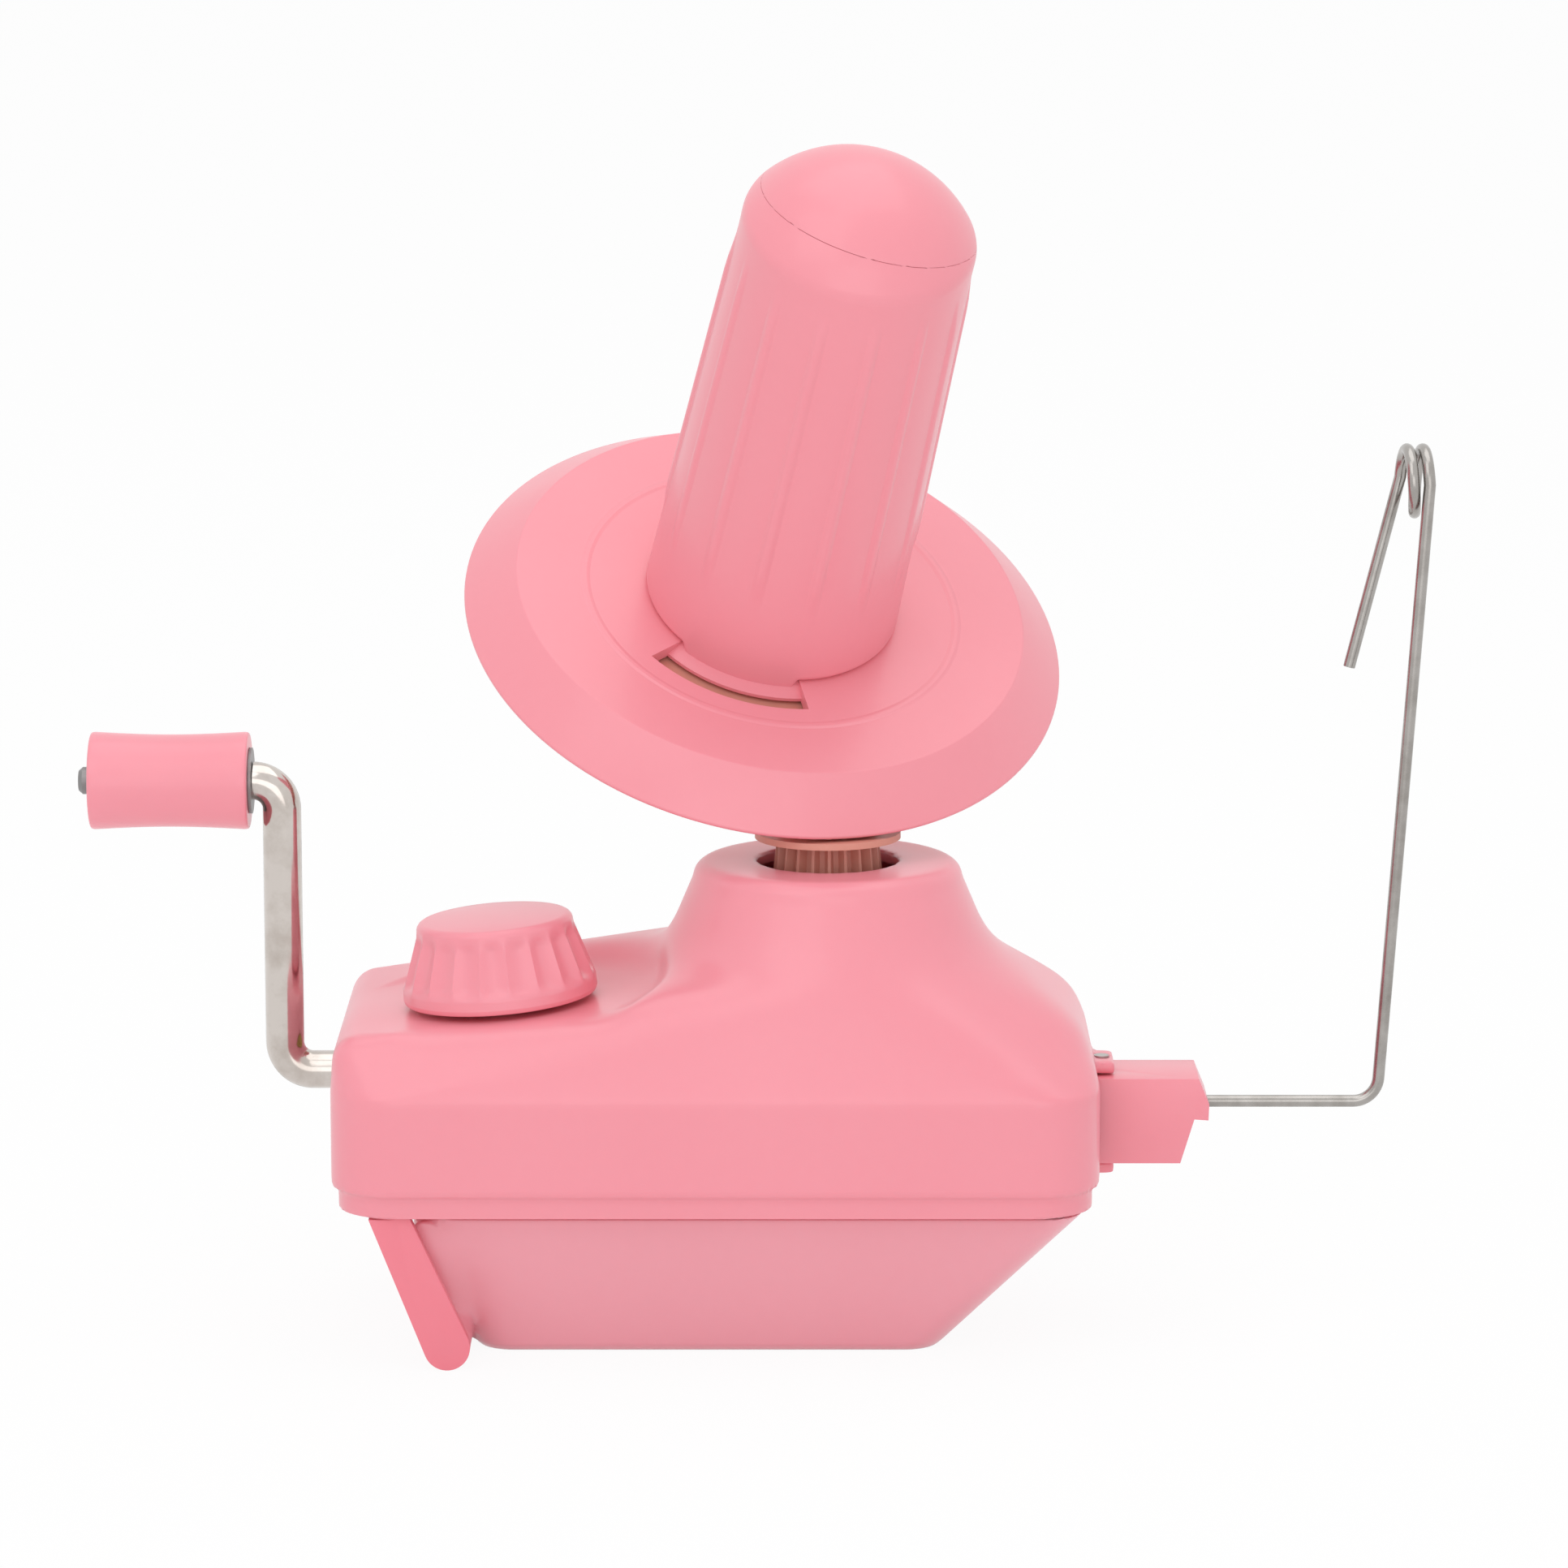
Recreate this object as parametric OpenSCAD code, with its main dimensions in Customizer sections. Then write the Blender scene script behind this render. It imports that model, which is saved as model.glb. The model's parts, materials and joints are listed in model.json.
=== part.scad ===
// Hand-cranked yarn ball winder: a tilted spool on a turning carrier, a table clamp and a wire yarn guide.
// Millimetres, +Z up, +X towards the yarn guide, the crank at -X, the front at -Y.
// The origin is the foot of the vertical winding axis, on the surface that the winder rests on.

/* [Housing] */
// Length of the housing from the winding axis to the crank end
body_left = 96.8; // [92:0.1:110]
// Length of the housing from the winding axis to the guide end
body_right = 52.8; // [50:0.1:58]
// Depth of the housing from front to back
body_depth = 84; // [80:1:92]
// Radius of the housing's upright corners
corner_r = 13; // [10:1:16]
// Height of the housing's lower rim
rim_z = 30.4; // [30:0.1:31]
// Height of the step above the rim band
band_z = 34.9; // [33.5:0.1:35.2]
// How far the rim band stands back
band_step = 1.4; // [0.2:0.1:1.6]
// Height of the fold between the upright wall and the sloping roof
fold_z = 54; // [52:0.5:58]
// Height of the roof at the crank end
deck_z = 65; // [64:0.5:69]
// Height of the roof at the foot of the neck
ridge_z = 76; // [75.5:0.5:78]
// Wall of the moulded shells
wall = 2.4; // [1.8:0.1:3]
// Height of the top of the neck
neck_top_z = 93.6; // [91:0.1:97]
// Outer radius of the neck at its top
neck_r = 25.2; // [23:0.1:28]
// Taper of the neck in degrees
neck_taper = 23; // [15:1:28]
// Extra radius where the neck flares into the roof
neck_flare = 1.6; // [1:0.1:3]
// Radius of the opening in the neck
neck_hole_r = 14; // [13.6:0.1:16]
// Rounding of the neck's top edge
neck_edge_r = 3.5; // [1:0.5:5]

/* [Crank] */
// Height of the crank axis
crank_z = 51; // [51:0.1:53]
// Radius of the crank rod
rod_r = 3.8; // [3:0.1:4.5]
// Distance from the crank axis to the grip axis
crank_throw = 58.3; // [40:0.1:70]
// Gap between the housing and the rod's upright arm
arm_gap = 7.1; // [4.5:0.1:12]
// Bend radius of the rod
rod_bend_r = 5.6; // [5.2:0.1:9]
// Length of the grip
grip_len = 31.2; // [25:0.1:40]
// Radius of the grip at its ends
grip_r = 9.6; // [7:0.1:12]
// How much the grip is waisted
grip_waist = 0.5; // [0:0.1:1.5]
// Radius of the spindle in the grip
spindle_r = 2; // [1.5:0.1:3]

/* [Gears] */
// Teeth of the crown gear on the crank
crown_teeth = 36; // [36:12:36]
// Teeth of the pinion on the winding shaft
pinion_teeth = 12; // [12:12:12]
// Outer pitch radius of the crown gear
crown_r = 17.6; // [16.5:0.1:17.8]
// Face width of the crown gear and its pinion
crown_face = 3.8; // [3:0.1:4.5]
// Teeth of the fixed sun gear
sun_teeth = 20; // [20:20:20]
// Teeth inside the spool flange
ring_teeth = 128; // [128:128:128]
// Tooth width as a share of the tooth pitch
tooth_share = 0.36; // [0.3:0.01:0.4]
// Tooth height above the pitch line, in modules
tooth_top = 0.8; // [0.6:0.05:0.9]
// Tooth depth below the pitch line, in modules
tooth_root = 1.1; // [1:0.05:1.25]
// Flank angle of the teeth in degrees
flank = 20; // [14:0.5:22]

/* [Spool] */
// Lean of the spool axis from upright in degrees
tilt = 33.2; // [32:0.1:34]
// Compass direction that the spool's top leans to, in degrees from +X
lean_az = -70.6; // [-180:0.1:180]
// Height above the neck where the spool axis crosses the winding axis
apex_h = 98.8; // [90:0.1:108]
// Height above the neck where the lower ends of the ring teeth meet the sun gear
mesh_h = 7.85; // [7:0.05:9]
// Thickness of the flange plate
plate_t = 2.5; // [2:0.1:3]
// Depth of the flange's bevelled skirt along the axis
skirt_drop = 9.6; // [8.5:0.1:10.5]
// Material outside the ring teeth's pitch line at the plate
skirt_top_wall = 2.2; // [2:0.1:4]
// Material outside the ring teeth's pitch line at the rim
skirt_rim_wall = 4; // [3.5:0.1:6]
// Outer radius of the barrel at its foot
barrel_foot_r = 25.7; // [24:0.1:27]
// Outer radius of the barrel below its shoulder
barrel_top_r = 22.9; // [22:0.1:24]
// Length of the barrel with its domed lid
spool_len = 107.8; // [98:0.1:118]
// Radius of the dome that closes the barrel
dome_r = 26.6; // [26:0.1:29]
// Lean of the lid's seam from square in degrees
lid_lean = 14.2; // [0:0.1:16]
// Number of grip ribs around the barrel
rib_count = 14; // [8:1:40]
// Height of a rib
rib_h = 0.4; // [0.2:0.1:0.8]
// Width of a rib
rib_w = 2.4; // [1:0.1:3]
// Radius of the spool axle and the winding shaft
shaft_r = 3; // [2.5:0.1:3.2]
// Outer radius of the arc slot in the plate
slot_r = 33.2; // [30:0.1:36]
// Width of the arc slot
slot_w = 4; // [3:0.1:6]

/* [Yarn guide] */
// Distance from the winding axis to the guide's hinge pin
guide_pin_x = 54.4; // [54:0.1:56]
// Radius of the guide's hinge pin
guide_pin_r = 1.5; // [1:0.1:2]
// Half depth of the guide block
block_half = 8.5; // [6:0.1:9]
// Reach of the block from its pin to its nose
block_reach = 21; // [16:0.1:26]
// Height of the block's underside
block_z = 33.8; // [33.7:0.1:35]
// Height of the block
block_h = 17.1; // [15:0.1:17.3]
// Diameter of the guide wire
wire_d = 2.4; // [1.5:0.1:2.6]
// Height of the wire's level stretch
wire_z = 44.5; // [43:0.1:46]
// Length of the level stretch from the pin to the upright
wire_reach = 54.8; // [48:0.1:60]
// Height of the eye's centre
eye_z = 168; // [150:1:180]
// Outward lean of the upright in degrees
wire_lean = 3.9; // [0:0.1:6]
// Radius of the eye's turns, at the middle of the wire
eye_r = 6.2; // [5:0.1:8]
// Turns of the eye, a whole number and a half
eye_turns = 1.5; // [1.5:1:2.5]
// Spacing of the eye's turns
eye_pitch = 3.1; // [3.1:0.1:4]
// Length of the short leg below the eye
leg_len = 39.2; // [25:0.1:50]
// Inward lean of the short leg in degrees
leg_lean = 14; // [5:0.5:20]

/* [Clamp] */
// Height of the jaw's pad face
jaw_top_z = 29.4; // [28:0.1:29.5]
// Half depth of the jaw at its bottom
jaw_foot_half = 26; // [20:0.5:28]
// Where the jaw's bottom ends towards the guide
jaw_foot_x = 23.2; // [10:0.1:35]
// Where the jaw's top ends towards the guide
jaw_tip_x = 49.8; // [45:0.1:51]
// Distance from the winding axis to the clamp hinge
hinge_x = 74.1; // [72:0.1:78]
// Radius of the hinge eyes, which touch the resting surface
hinge_eye_r = 4.5; // [3.6:0.1:5]
// Radius of the clamp's hinge pin
hinge_pin_r = 2; // [1.5:0.1:2.5]
// Thickness of a hinge leg
leg_t = 2.7; // [2:0.1:3]
// Thickness of the rubber pads
pad_t = 0.5; // [0.4:0.1:1.1]
// Distance from the winding axis to the knob's centre
knob_x = 64.2; // [62:0.1:66]
// How far the knob's centre lies in front of the winding axis
knob_front = 11; // [10.5:0.1:13]
// Height of the recess floor under the knob's centre
knob_z = 67.2; // [66:0.1:68]
// Lean of the knob axis towards the crank in degrees
knob_lean = 4.5; // [2:0.1:6]
// Radius of the knob at its foot
knob_r = 19; // [15:0.1:20]
// Radius of the knob at its top
knob_top_r = 15.6; // [12:0.1:17]
// Height of the knob
knob_h = 16.2; // [14:0.1:22]
// Number of flutes on the knob
knob_flutes = 20; // [12:1:28]
// Radius of the recess around the knob
recess_r = 33; // [30:0.5:33.5]
// Radius of the clamp screw
screw_r = 3; // [2.5:0.1:3.5]
// Radius of the barrel nut
nut_r = 4.6; // [4.2:0.1:5]
// Length of the barrel nut
nut_len = 16; // [12:0.5:18]
// Height of the barrel nut's axis when the clamp is shut
nut_z = 9; // [8.5:0.1:10]

/* [Fits] */
// Radial clearance of shafts in their bearings
run_fit = 0.05; // [0.02:0.01:0.1]
// Clearance between fixed pieces that nest
seat_fit = 0.02; // [0.01:0.01:0.05]
// Gap between pieces that move past each other
move_gap = 0.4; // [0.3:0.05:0.6]

/* [Hidden] */
$fn = 64;
pink = "#f39aa6";
steel = "#c9c6c2";
dark_steel = "#6d6a68";
tan_gear = "#c29a66";
bronze = "#b08d57";
rubber = "#4a4446";

body_half = body_depth / 2;
arm_x = -body_left - arm_gap - rod_r;
cover_top_z = rim_z + 2.4;
cover_z = rim_z + 0.4;
lip_gap = 0.3;
screw_hole_r = 1.55;
boss_r = 4.3;
boss_inset = 9.3;
boss_spots = [for (x = [-body_left + boss_inset, body_right - boss_inset])
              for (y = [-1, 1]) [x, y * (body_half - 7.5)]];
crank_bush_r = rod_r + 2;
crank_bush_len = 12;
post_x = 10;
post_t = 8;
post_half = 9;
post_foot = 11;
post_screw_x = 7;

neck_plate_t = 2.6;
flare_top_z = ridge_z + 7;
deck_half = body_half - 11.5;
deck_bar_r = 5.5;
deck_bar_x = -body_left + 0.5 + deck_bar_r;
shoulder_half = body_half - 22;
shoulder_r = 9;
shoulder_x = body_right - 1.4 - shoulder_r;
shoulder_z = ridge_z - 17.4;

crown_cone = atan(crown_teeth / pinion_teeth);
pinion_cone = 90 - crown_cone;
crown_dist = crown_r / sin(crown_cone);
crown_module = 2 * crown_r / crown_teeth;
crown_back_x = -crown_r / tan(crown_cone) - 5;
crown_hub_len = 10;
crown_hub_r = 8;
pinion_top_z = crank_z + crown_r + 0.6;
pinion_low_z = crank_z + crown_r - crown_face - 0.2;
bracket_z = pinion_top_z + 1.2;
bracket_t = 2.2;
bracket_boss_r = 9;
bracket_boss_top = bracket_z + 11;
bracket_half = 13;
bracket_reach = 26;
bracket_spots = [for (x = [-22, 22]) for (y = [-9, 9]) [x, y]];
bracket_stud_r = 3.2;
bracket_stud_top = neck_top_z - 7;
bush_r = shaft_r + 2;

apex_z = neck_top_z + apex_h;
sun_cone = atan(sin(tilt) / (ring_teeth / sun_teeth - cos(tilt)));
ring_cone = sun_cone + tilt;
rim_a = (apex_h - mesh_h) * cos(ring_cone) / cos(sun_cone);
plate_a = rim_a - skirt_drop;
under_a = plate_a + plate_t;
plate_r = plate_a * tan(ring_cone) + skirt_top_wall;
rim_r = rim_a * tan(ring_cone) + skirt_rim_wall;
ring_module = 2 * rim_a * tan(ring_cone) / ring_teeth;
sun_low_h = -2;
sun_top_h = 15.4;
sun_low_r = (apex_h - sun_low_h) * tan(sun_cone);
sun_module = 2 * sun_low_r / sun_teeth;
sun_root_r = sun_low_r - tooth_root * sun_module / cos(sun_cone);
sun_hub_r = sun_root_r - 0.3;
sun_wall = 1.2;
sun_socket_r = sun_root_r * (apex_h - sun_top_h) / (apex_h - sun_low_h) - sun_wall;
rim_low_h = apex_h - rim_a * cos(tilt) - (rim_r - 0.8) * sin(tilt);
sun_disc_r = 14.4;
sun_disc_t = 1.3;
sun_socket_h = 12.4;
neck_bush_top = neck_top_z + 12;
carrier_hub_r = sun_socket_r - 0.6;
carrier_hub_h = 12.8;
shaft_top_h = apex_h - under_a / cos(tilt) - shaft_r * tan(tilt) - move_gap;
carrier_gap = 0.8;
carrier_top_a = under_a + carrier_gap;
carrier_t = 7;
carrier_half = 6.5;
carrier_disc_r = slot_r + 6.8;
carrier_disc_t = 2;
axle_boss_r = 8;
axle_low_a = carrier_top_a + carrier_t + 1.5;
hub_top_z = 8;
hub_r = bush_r + 2.4;
spool_bush_len = 12;
washer_t = 1;
clip_t = 1.2;
axle_top_z = hub_top_z + washer_t + clip_t + 3;
barrel_wall = 2;
dome_z = spool_len - plate_a - dome_r;
dome_edge_r = 5;
dome_rise = sqrt(pow(dome_r - dome_edge_r, 2) - pow(barrel_top_r - dome_edge_r, 2));
dome_turn = atan2(dome_rise, barrel_top_r - dome_edge_r);
barrel_shoulder_z = dome_z + dome_rise;
wall_top_z = barrel_shoulder_z - 4;
lid_az = 138.2;
lid_r = 21.8;
lid_h = sqrt(pow(dome_r, 2) - pow(lid_r, 2));
lid_plug = 3;
lid_plug_r = sqrt(pow(dome_r - barrel_wall, 2) - pow(lid_h, 2)) - 2.4;
rib_az = -6;
foot_round = 2.4;
foot_in_r = barrel_foot_r - foot_round - 1;
slot_start = -62.8;
slot_sweep = 59.6;
slot_ramp = 1.8;
ring_line_r = 37.4;

grip_axis_z = crank_z + crank_throw;
grip_start_x = arm_x - rod_bend_r - 0.7;
grip_end_x = grip_start_x - grip_len;

notch_half = block_half + 3.5;
notch_depth = block_half + 0.6;
lug_t = 2.4;
upper_lug_z = block_z + block_h + move_gap;
lower_lug_z = block_z - move_gap - lug_t;
lug_half = 6;
lug_x = body_right - wall + 0.1;
nose_x = guide_pin_x + block_reach;
wire_r = wire_d / 2;
wire_in_x = nose_x - 14;
wire_bend_r = 5;
wire_corner_x = guide_pin_x + wire_reach;
wire_top_x = wire_corner_x + (eye_z - wire_z) * tan(wire_lean);
wire_sides = 10;
eye_steps = 24;

hinge_z = hinge_eye_r;
leg_out = body_half - wall - lip_gap;
jaw_half = leg_out - leg_t - move_gap;
jaw_plate_half = jaw_half - 4.4;
jaw_left_x = -hinge_x - 3;
jaw_foot_left_x = -hinge_x + 4;
jaw_wall = 2.2;
jaw_corner_r = 8;
plate_jaw_t = 2.2;
jaw_plate_tip_x = jaw_tip_x - 6.7;
spine_r = 3;
spine_z = jaw_top_z - spine_r - 0.4;
housing_pad_z = cover_z - pad_t;
jaw_screw_spots = [for (x = [-40, jaw_foot_x - 6]) for (y = [15, -15]) [x, y]];
nut_drop = knob_z - nut_z;
nut_x = -knob_x + nut_drop * tan(knob_lean);
nut_room = 0.8;
saddle_half_x = nut_r + 3;
saddle_top_z = nut_z + nut_r + 3;
screw_tip_z = jaw_wall + 0.6;
screw_len = (knob_z - screw_tip_z) / cos(knob_lean);
screw_slot_half = screw_r + 0.9;

// Places children at the crossing of the two axes, with +Z up the spool axis and +X down the plate's slope.
module at_spool() translate([0, 0, apex_z]) rotate([0, 0, lean_az]) rotate([0, tilt, 0]) children();

// Places children on the recess floor, with +Z up the clamp screw.
module at_knob() translate([-knob_x, -knob_front, knob_z]) rotate([0, -knob_lean, 0]) children();

// A cylinder along +X from x0 to x1 at height z.
module bar_x(x0, x1, z, r) translate([x0, 0, z]) rotate([0, 90, 0]) cylinder(r = r, h = x1 - x0);

// A cylinder along Y, centred, at x and z.
module bar_y(x, z, r, length) translate([x, 0, z]) rotate([90, 0, 0]) cylinder(r = r, h = length, center = true);

// A ring about Z.
module ring(r_out, r_in, h) difference() {
    cylinder(r = r_out, h = h);
    translate([0, 0, -1]) cylinder(r = r_in, h = h + 2);
}

// A rectangle in plan with rounded corners.
module rounded_rect(x0, x1, half, r) {
    translate([x0 + r, -half]) square([x1 - x0 - 2 * r, 2 * half]);
    translate([x0, r - half]) square([x1 - x0, 2 * (half - r)]);
    for (x = [x0 + r, x1 - r], y = [r - half, half - r])
        translate([x, y]) circle(r);
}

// Outline of a straight-flanked gear with a rise outside and a fall inside its pitch radius.
function gear_outline(teeth, pitch_r, rise, fall, share, slope) =
    let (pitch = 2 * PI * pitch_r / teeth,
         low = (share * pitch / 2 + fall * tan(slope)) / pitch_r * 180 / PI,
         high = (share * pitch / 2 - rise * tan(slope)) / pitch_r * 180 / PI)
    [for (i = [0 : teeth - 1])
     let (mid = i * 360 / teeth)
     for (p = [[-low, -fall], [-high, rise], [high, rise], [low, -fall]])
     (pitch_r + p[1]) * [cos(mid + p[0]), sin(mid + p[0])]];

// Flank slope seen in a plane square to the gear's axis.
function flank_in_plane(cone) = atan(tan(flank) * cos(cone));

// The housing's outer form, or its cavity when inset.
module housing_form(inset) {
    x0 = -body_left + inset;
    x1 = body_right - inset;
    half = body_half - inset;
    r = corner_r - inset;
    translate([0, 0, band_z]) linear_extrude(fold_z - band_z) rounded_rect(x0, x1, half, r);
    hull() {
        for (x = [x0 + r, x1 - r], y = [r - half, half - r])
            translate([x, y, fold_z - 0.5]) cylinder(r = r, h = 0.5, $fn = 32);
        for (y = [-1, 1]) {
            translate([deck_bar_x, y * deck_half, deck_z - deck_bar_r])
                sphere(r = deck_bar_r - inset, $fn = 32);
            translate([shoulder_x, y * shoulder_half, shoulder_z]) sphere(r = shoulder_r - inset, $fn = 32);
        }
        translate([0, 0, ridge_z - inset - 0.5])
            cylinder(r = neck_radius(ridge_z) - inset / 2, h = 0.5, $fn = 64);
    }
}

// Radius of the neck at a height.
function neck_radius(z) = neck_r + (neck_top_z - z) * tan(neck_taper)
    + neck_flare * pow(max(0, (flare_top_z - z) / (flare_top_z - ridge_z)), 2);

// The neck as a turned form, closed at the top.
module neck_form(inset, top_z, edge_r) {
    steps = 12;
    foot_z = ridge_z - 1 - 1.5 * inset;
    edge_z = top_z - edge_r;
    edge_x = neck_radius(edge_z) - inset;
    side = [for (i = [0 : steps])
            let (z = foot_z + (edge_z - foot_z) * i / steps)
            [neck_radius(max(z, ridge_z)) - inset, z]];
    round_over = [for (a = [15 : 15 : 90]) [edge_x - edge_r + edge_r * cos(a), edge_z + edge_r * sin(a)]];
    rotate_extrude() polygon(concat([[0, foot_z]], side, round_over, [[0, top_z]]));
}

module upper_shell() color(pink) difference() {
    union() {
        difference() {
            union() {
                housing_form(0);
                translate([0, 0, rim_z]) linear_extrude(band_z - rim_z)
                    rounded_rect(-body_left + band_step, body_right - band_step, body_half - band_step,
                                 corner_r - band_step);
                neck_form(0, neck_top_z, neck_edge_r);
            }
            at_knob() cylinder(r = recess_r, h = 40);
            difference() {
                union() {
                    housing_form(wall);
                    translate([0, 0, rim_z - 1]) linear_extrude(band_z - rim_z + 1.01)
                        rounded_rect(-body_left + wall, body_right - wall, body_half - wall, corner_r - wall);
                    neck_form(wall, neck_top_z - neck_plate_t, 1);
                }
                at_knob() translate([0, 0, -wall]) cylinder(r = recess_r + wall, h = 44);
            }
            translate([guide_pin_x - notch_depth, -notch_half, lower_lug_z + lug_t])
                cube([notch_depth + 10, 2 * notch_half, upper_lug_z - lower_lug_z - lug_t]);
        }
        for (spot = boss_spots)
            translate([spot[0], spot[1], cover_top_z + 0.1]) cylinder(r = boss_r, h = 17);
        for (spot = bracket_spots)
            translate([spot[0], spot[1], bracket_z + bracket_t + 0.1])
                cylinder(r = bracket_stud_r, h = bracket_stud_top - bracket_z - bracket_t);
        for (z = [lower_lug_z, upper_lug_z])
            translate([guide_pin_x, 0, z]) linear_extrude(lug_t) {
                translate([lug_x - guide_pin_x, -lug_half]) square([guide_pin_x - lug_x, 2 * lug_half]);
                intersection() {
                    circle(lug_half);
                    translate([0, -lug_half]) square([2.4, 2 * lug_half]);
                }
            }
    }
    for (spot = boss_spots)
        translate([spot[0], spot[1], cover_top_z]) cylinder(r = screw_hole_r, h = 12);
    for (spot = bracket_spots)
        translate([spot[0], spot[1], bracket_z + bracket_t]) cylinder(r = screw_hole_r, h = 8);
    translate([0, 0, neck_top_z - neck_plate_t - 2]) cylinder(r = neck_hole_r, h = neck_plate_t + 4);
    bar_x(-body_left - 1, -body_left + 8, crank_z, crank_bush_r + seat_fit);
    at_knob() translate([0, 0, -wall - 6]) cylinder(r = screw_r + run_fit, h = 10 + wall);
    translate([guide_pin_x, 0, lower_lug_z - 1])
        cylinder(r = guide_pin_r + seat_fit, h = upper_lug_z - lower_lug_z + lug_t + 2);
}

// Points where lines from p touch a circle at c; side is -1 or 1.
function touch_point(p, c, r, side) =
    let (d = c - p, toward = atan2(-d[1], -d[0]), swing = acos(r / norm(d)))
    c + r * [cos(toward + side * swing), sin(toward + side * swing)];

// Outline of one hinge leg in the XZ plane.
module leg_outline() {
    eye = [-hinge_x, hinge_z];
    top_out = [-hinge_x - 16, cover_top_z];
    top_in = [-hinge_x - 8.1, cover_top_z];
    polygon([top_out, top_in, touch_point(top_in, eye, hinge_eye_r, -1), eye,
             touch_point(top_out, eye, hinge_eye_r, 1)]);
    translate(eye) circle(hinge_eye_r);
}

// Outline of the cover inside the housing's rim.
module cover_outline() rounded_rect(-body_left + wall + lip_gap, body_right - wall - lip_gap, leg_out,
                                    corner_r - wall - lip_gap);

module base_plate() color(pink) difference() {
    union() {
        translate([0, 0, cover_z]) linear_extrude(cover_top_z - cover_z) cover_outline();
        intersection() {
            for (y = [-leg_out, leg_out - leg_t])
                translate([0, y + leg_t, 0]) rotate([90, 0, 0]) linear_extrude(leg_t) leg_outline();
            union() {
                linear_extrude(cover_top_z) cover_outline();
                translate([-body_left, -body_half, -1]) cube([body_left, body_depth, rim_z - lip_gap + 1]);
            }
        }
    }
    bar_y(-hinge_x, hinge_z, hinge_pin_r + run_fit, 2 * leg_out - 1.6);
    for (spot = boss_spots)
        translate([spot[0], spot[1], 0]) {
            cylinder(r = screw_hole_r + 0.1, h = cover_top_z + 1);
            cylinder(r = 3, h = cover_z + 1);
        }
    for (x = [-1, 1])
        translate([post_x + x * post_screw_x, 0, 0]) {
            cylinder(r = screw_hole_r + 0.1, h = cover_top_z + 1);
            cylinder(r = 3, h = cover_z + 1);
        }
    at_knob() translate([0, 0, -80]) cylinder(r = screw_r + move_gap, h = 78);
}

module housing_pad() color(rubber) translate([0, 0, housing_pad_z]) linear_extrude(pad_t)
    rounded_rect(-46, body_right - boss_inset - 6, leg_out - 6, 4);

// A pan-headed screw that points up from z.
module screw_up(z, length, head_h) translate([0, 0, z]) {
    cylinder(r = 2.8, h = head_h);
    cylinder(r = screw_hole_r - seat_fit, h = length);
}

module housing_screws() color(dark_steel) {
    for (spot = boss_spots)
        translate([spot[0], spot[1], 0]) screw_up(cover_z + 0.1, 11, 0.9);
    for (x = [-1, 1])
        translate([post_x + x * post_screw_x, 0, 0]) screw_up(cover_z + 0.1, 4.4, 0.9);
}

module bearing_bracket() color(pink) difference() {
    union() {
        translate([0, 0, bracket_z]) linear_extrude(bracket_t)
            rounded_rect(-bracket_reach, bracket_reach, bracket_half, 4);
        translate([0, 0, bracket_z]) cylinder(r = bracket_boss_r, h = bracket_boss_top - bracket_z);
    }
    translate([0, 0, bracket_z - 1]) cylinder(r = bush_r + seat_fit, h = bracket_boss_top - bracket_z + 2);
    for (spot = bracket_spots)
        translate([spot[0], spot[1], bracket_z - 1]) cylinder(r = screw_hole_r + 0.1, h = bracket_t + 2);
}

module bracket_screws() color(dark_steel)
    for (spot = bracket_spots)
        translate([spot[0], spot[1], 0]) screw_up(bracket_z - 1.2, bracket_t + 8, 1.2);

module neck_bush() color(bronze) translate([0, 0, bracket_z])
    ring(bush_r, shaft_r + run_fit, neck_bush_top - bracket_z);

module sun_gear() color(tan_gear) difference() {
    union() {
        translate([0, 0, bracket_boss_top])
            cylinder(r = sun_hub_r, h = neck_top_z + sun_low_h - bracket_boss_top + 0.5);
        translate([0, 0, neck_top_z + sun_low_h]) rotate([0, 0, lean_az])
            linear_extrude(sun_top_h - sun_low_h, scale = (apex_h - sun_top_h) / (apex_h - sun_low_h))
                polygon(gear_outline(sun_teeth, sun_low_r, tooth_top * sun_module / cos(sun_cone),
                                     tooth_root * sun_module / cos(sun_cone), tooth_share,
                                     flank_in_plane(sun_cone)));
        translate([0, 0, neck_top_z + rim_low_h - move_gap - sun_disc_t])
            cylinder(r = sun_disc_r, h = sun_disc_t);
    }
    translate([0, 0, bracket_boss_top - 1]) cylinder(r = bush_r + seat_fit, h = 60);
    translate([0, 0, neck_top_z + sun_socket_h]) cylinder(r = sun_socket_r, h = 20);
}

module crank_bush() color(bronze) difference() {
    bar_x(-body_left + 0.2, -body_left + crank_bush_len, crank_z, crank_bush_r);
    bar_x(-body_left - 5, -body_left + crank_bush_len + 5, crank_z, rod_r + run_fit);
}

module crank_post() color(pink) difference() {
    union() {
        translate([post_x - post_foot, -post_half, cover_top_z]) cube([2 * post_foot, 2 * post_half, 3]);
        translate([post_x - post_t / 2, -post_half, cover_top_z])
            cube([post_t, 2 * post_half, crank_z - cover_top_z]);
        bar_x(post_x - post_t / 2, post_x + post_t / 2, crank_z, post_half);
    }
    bar_x(post_x - post_t, post_x + post_t, crank_z, rod_r + run_fit);
    for (x = [-1, 1])
        translate([post_x + x * post_screw_x, 0, cover_top_z - 1]) cylinder(r = screw_hole_r, h = 3.6);
}

module guide_pin() color(steel) translate([guide_pin_x, 0, lower_lug_z - 0.6])
    cylinder(r = guide_pin_r, h = upper_lug_z + lug_t - lower_lug_z + 0.8);

module knob_washer() color(dark_steel) at_knob() ring(9, screw_r + run_fit, 0.8);

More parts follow.
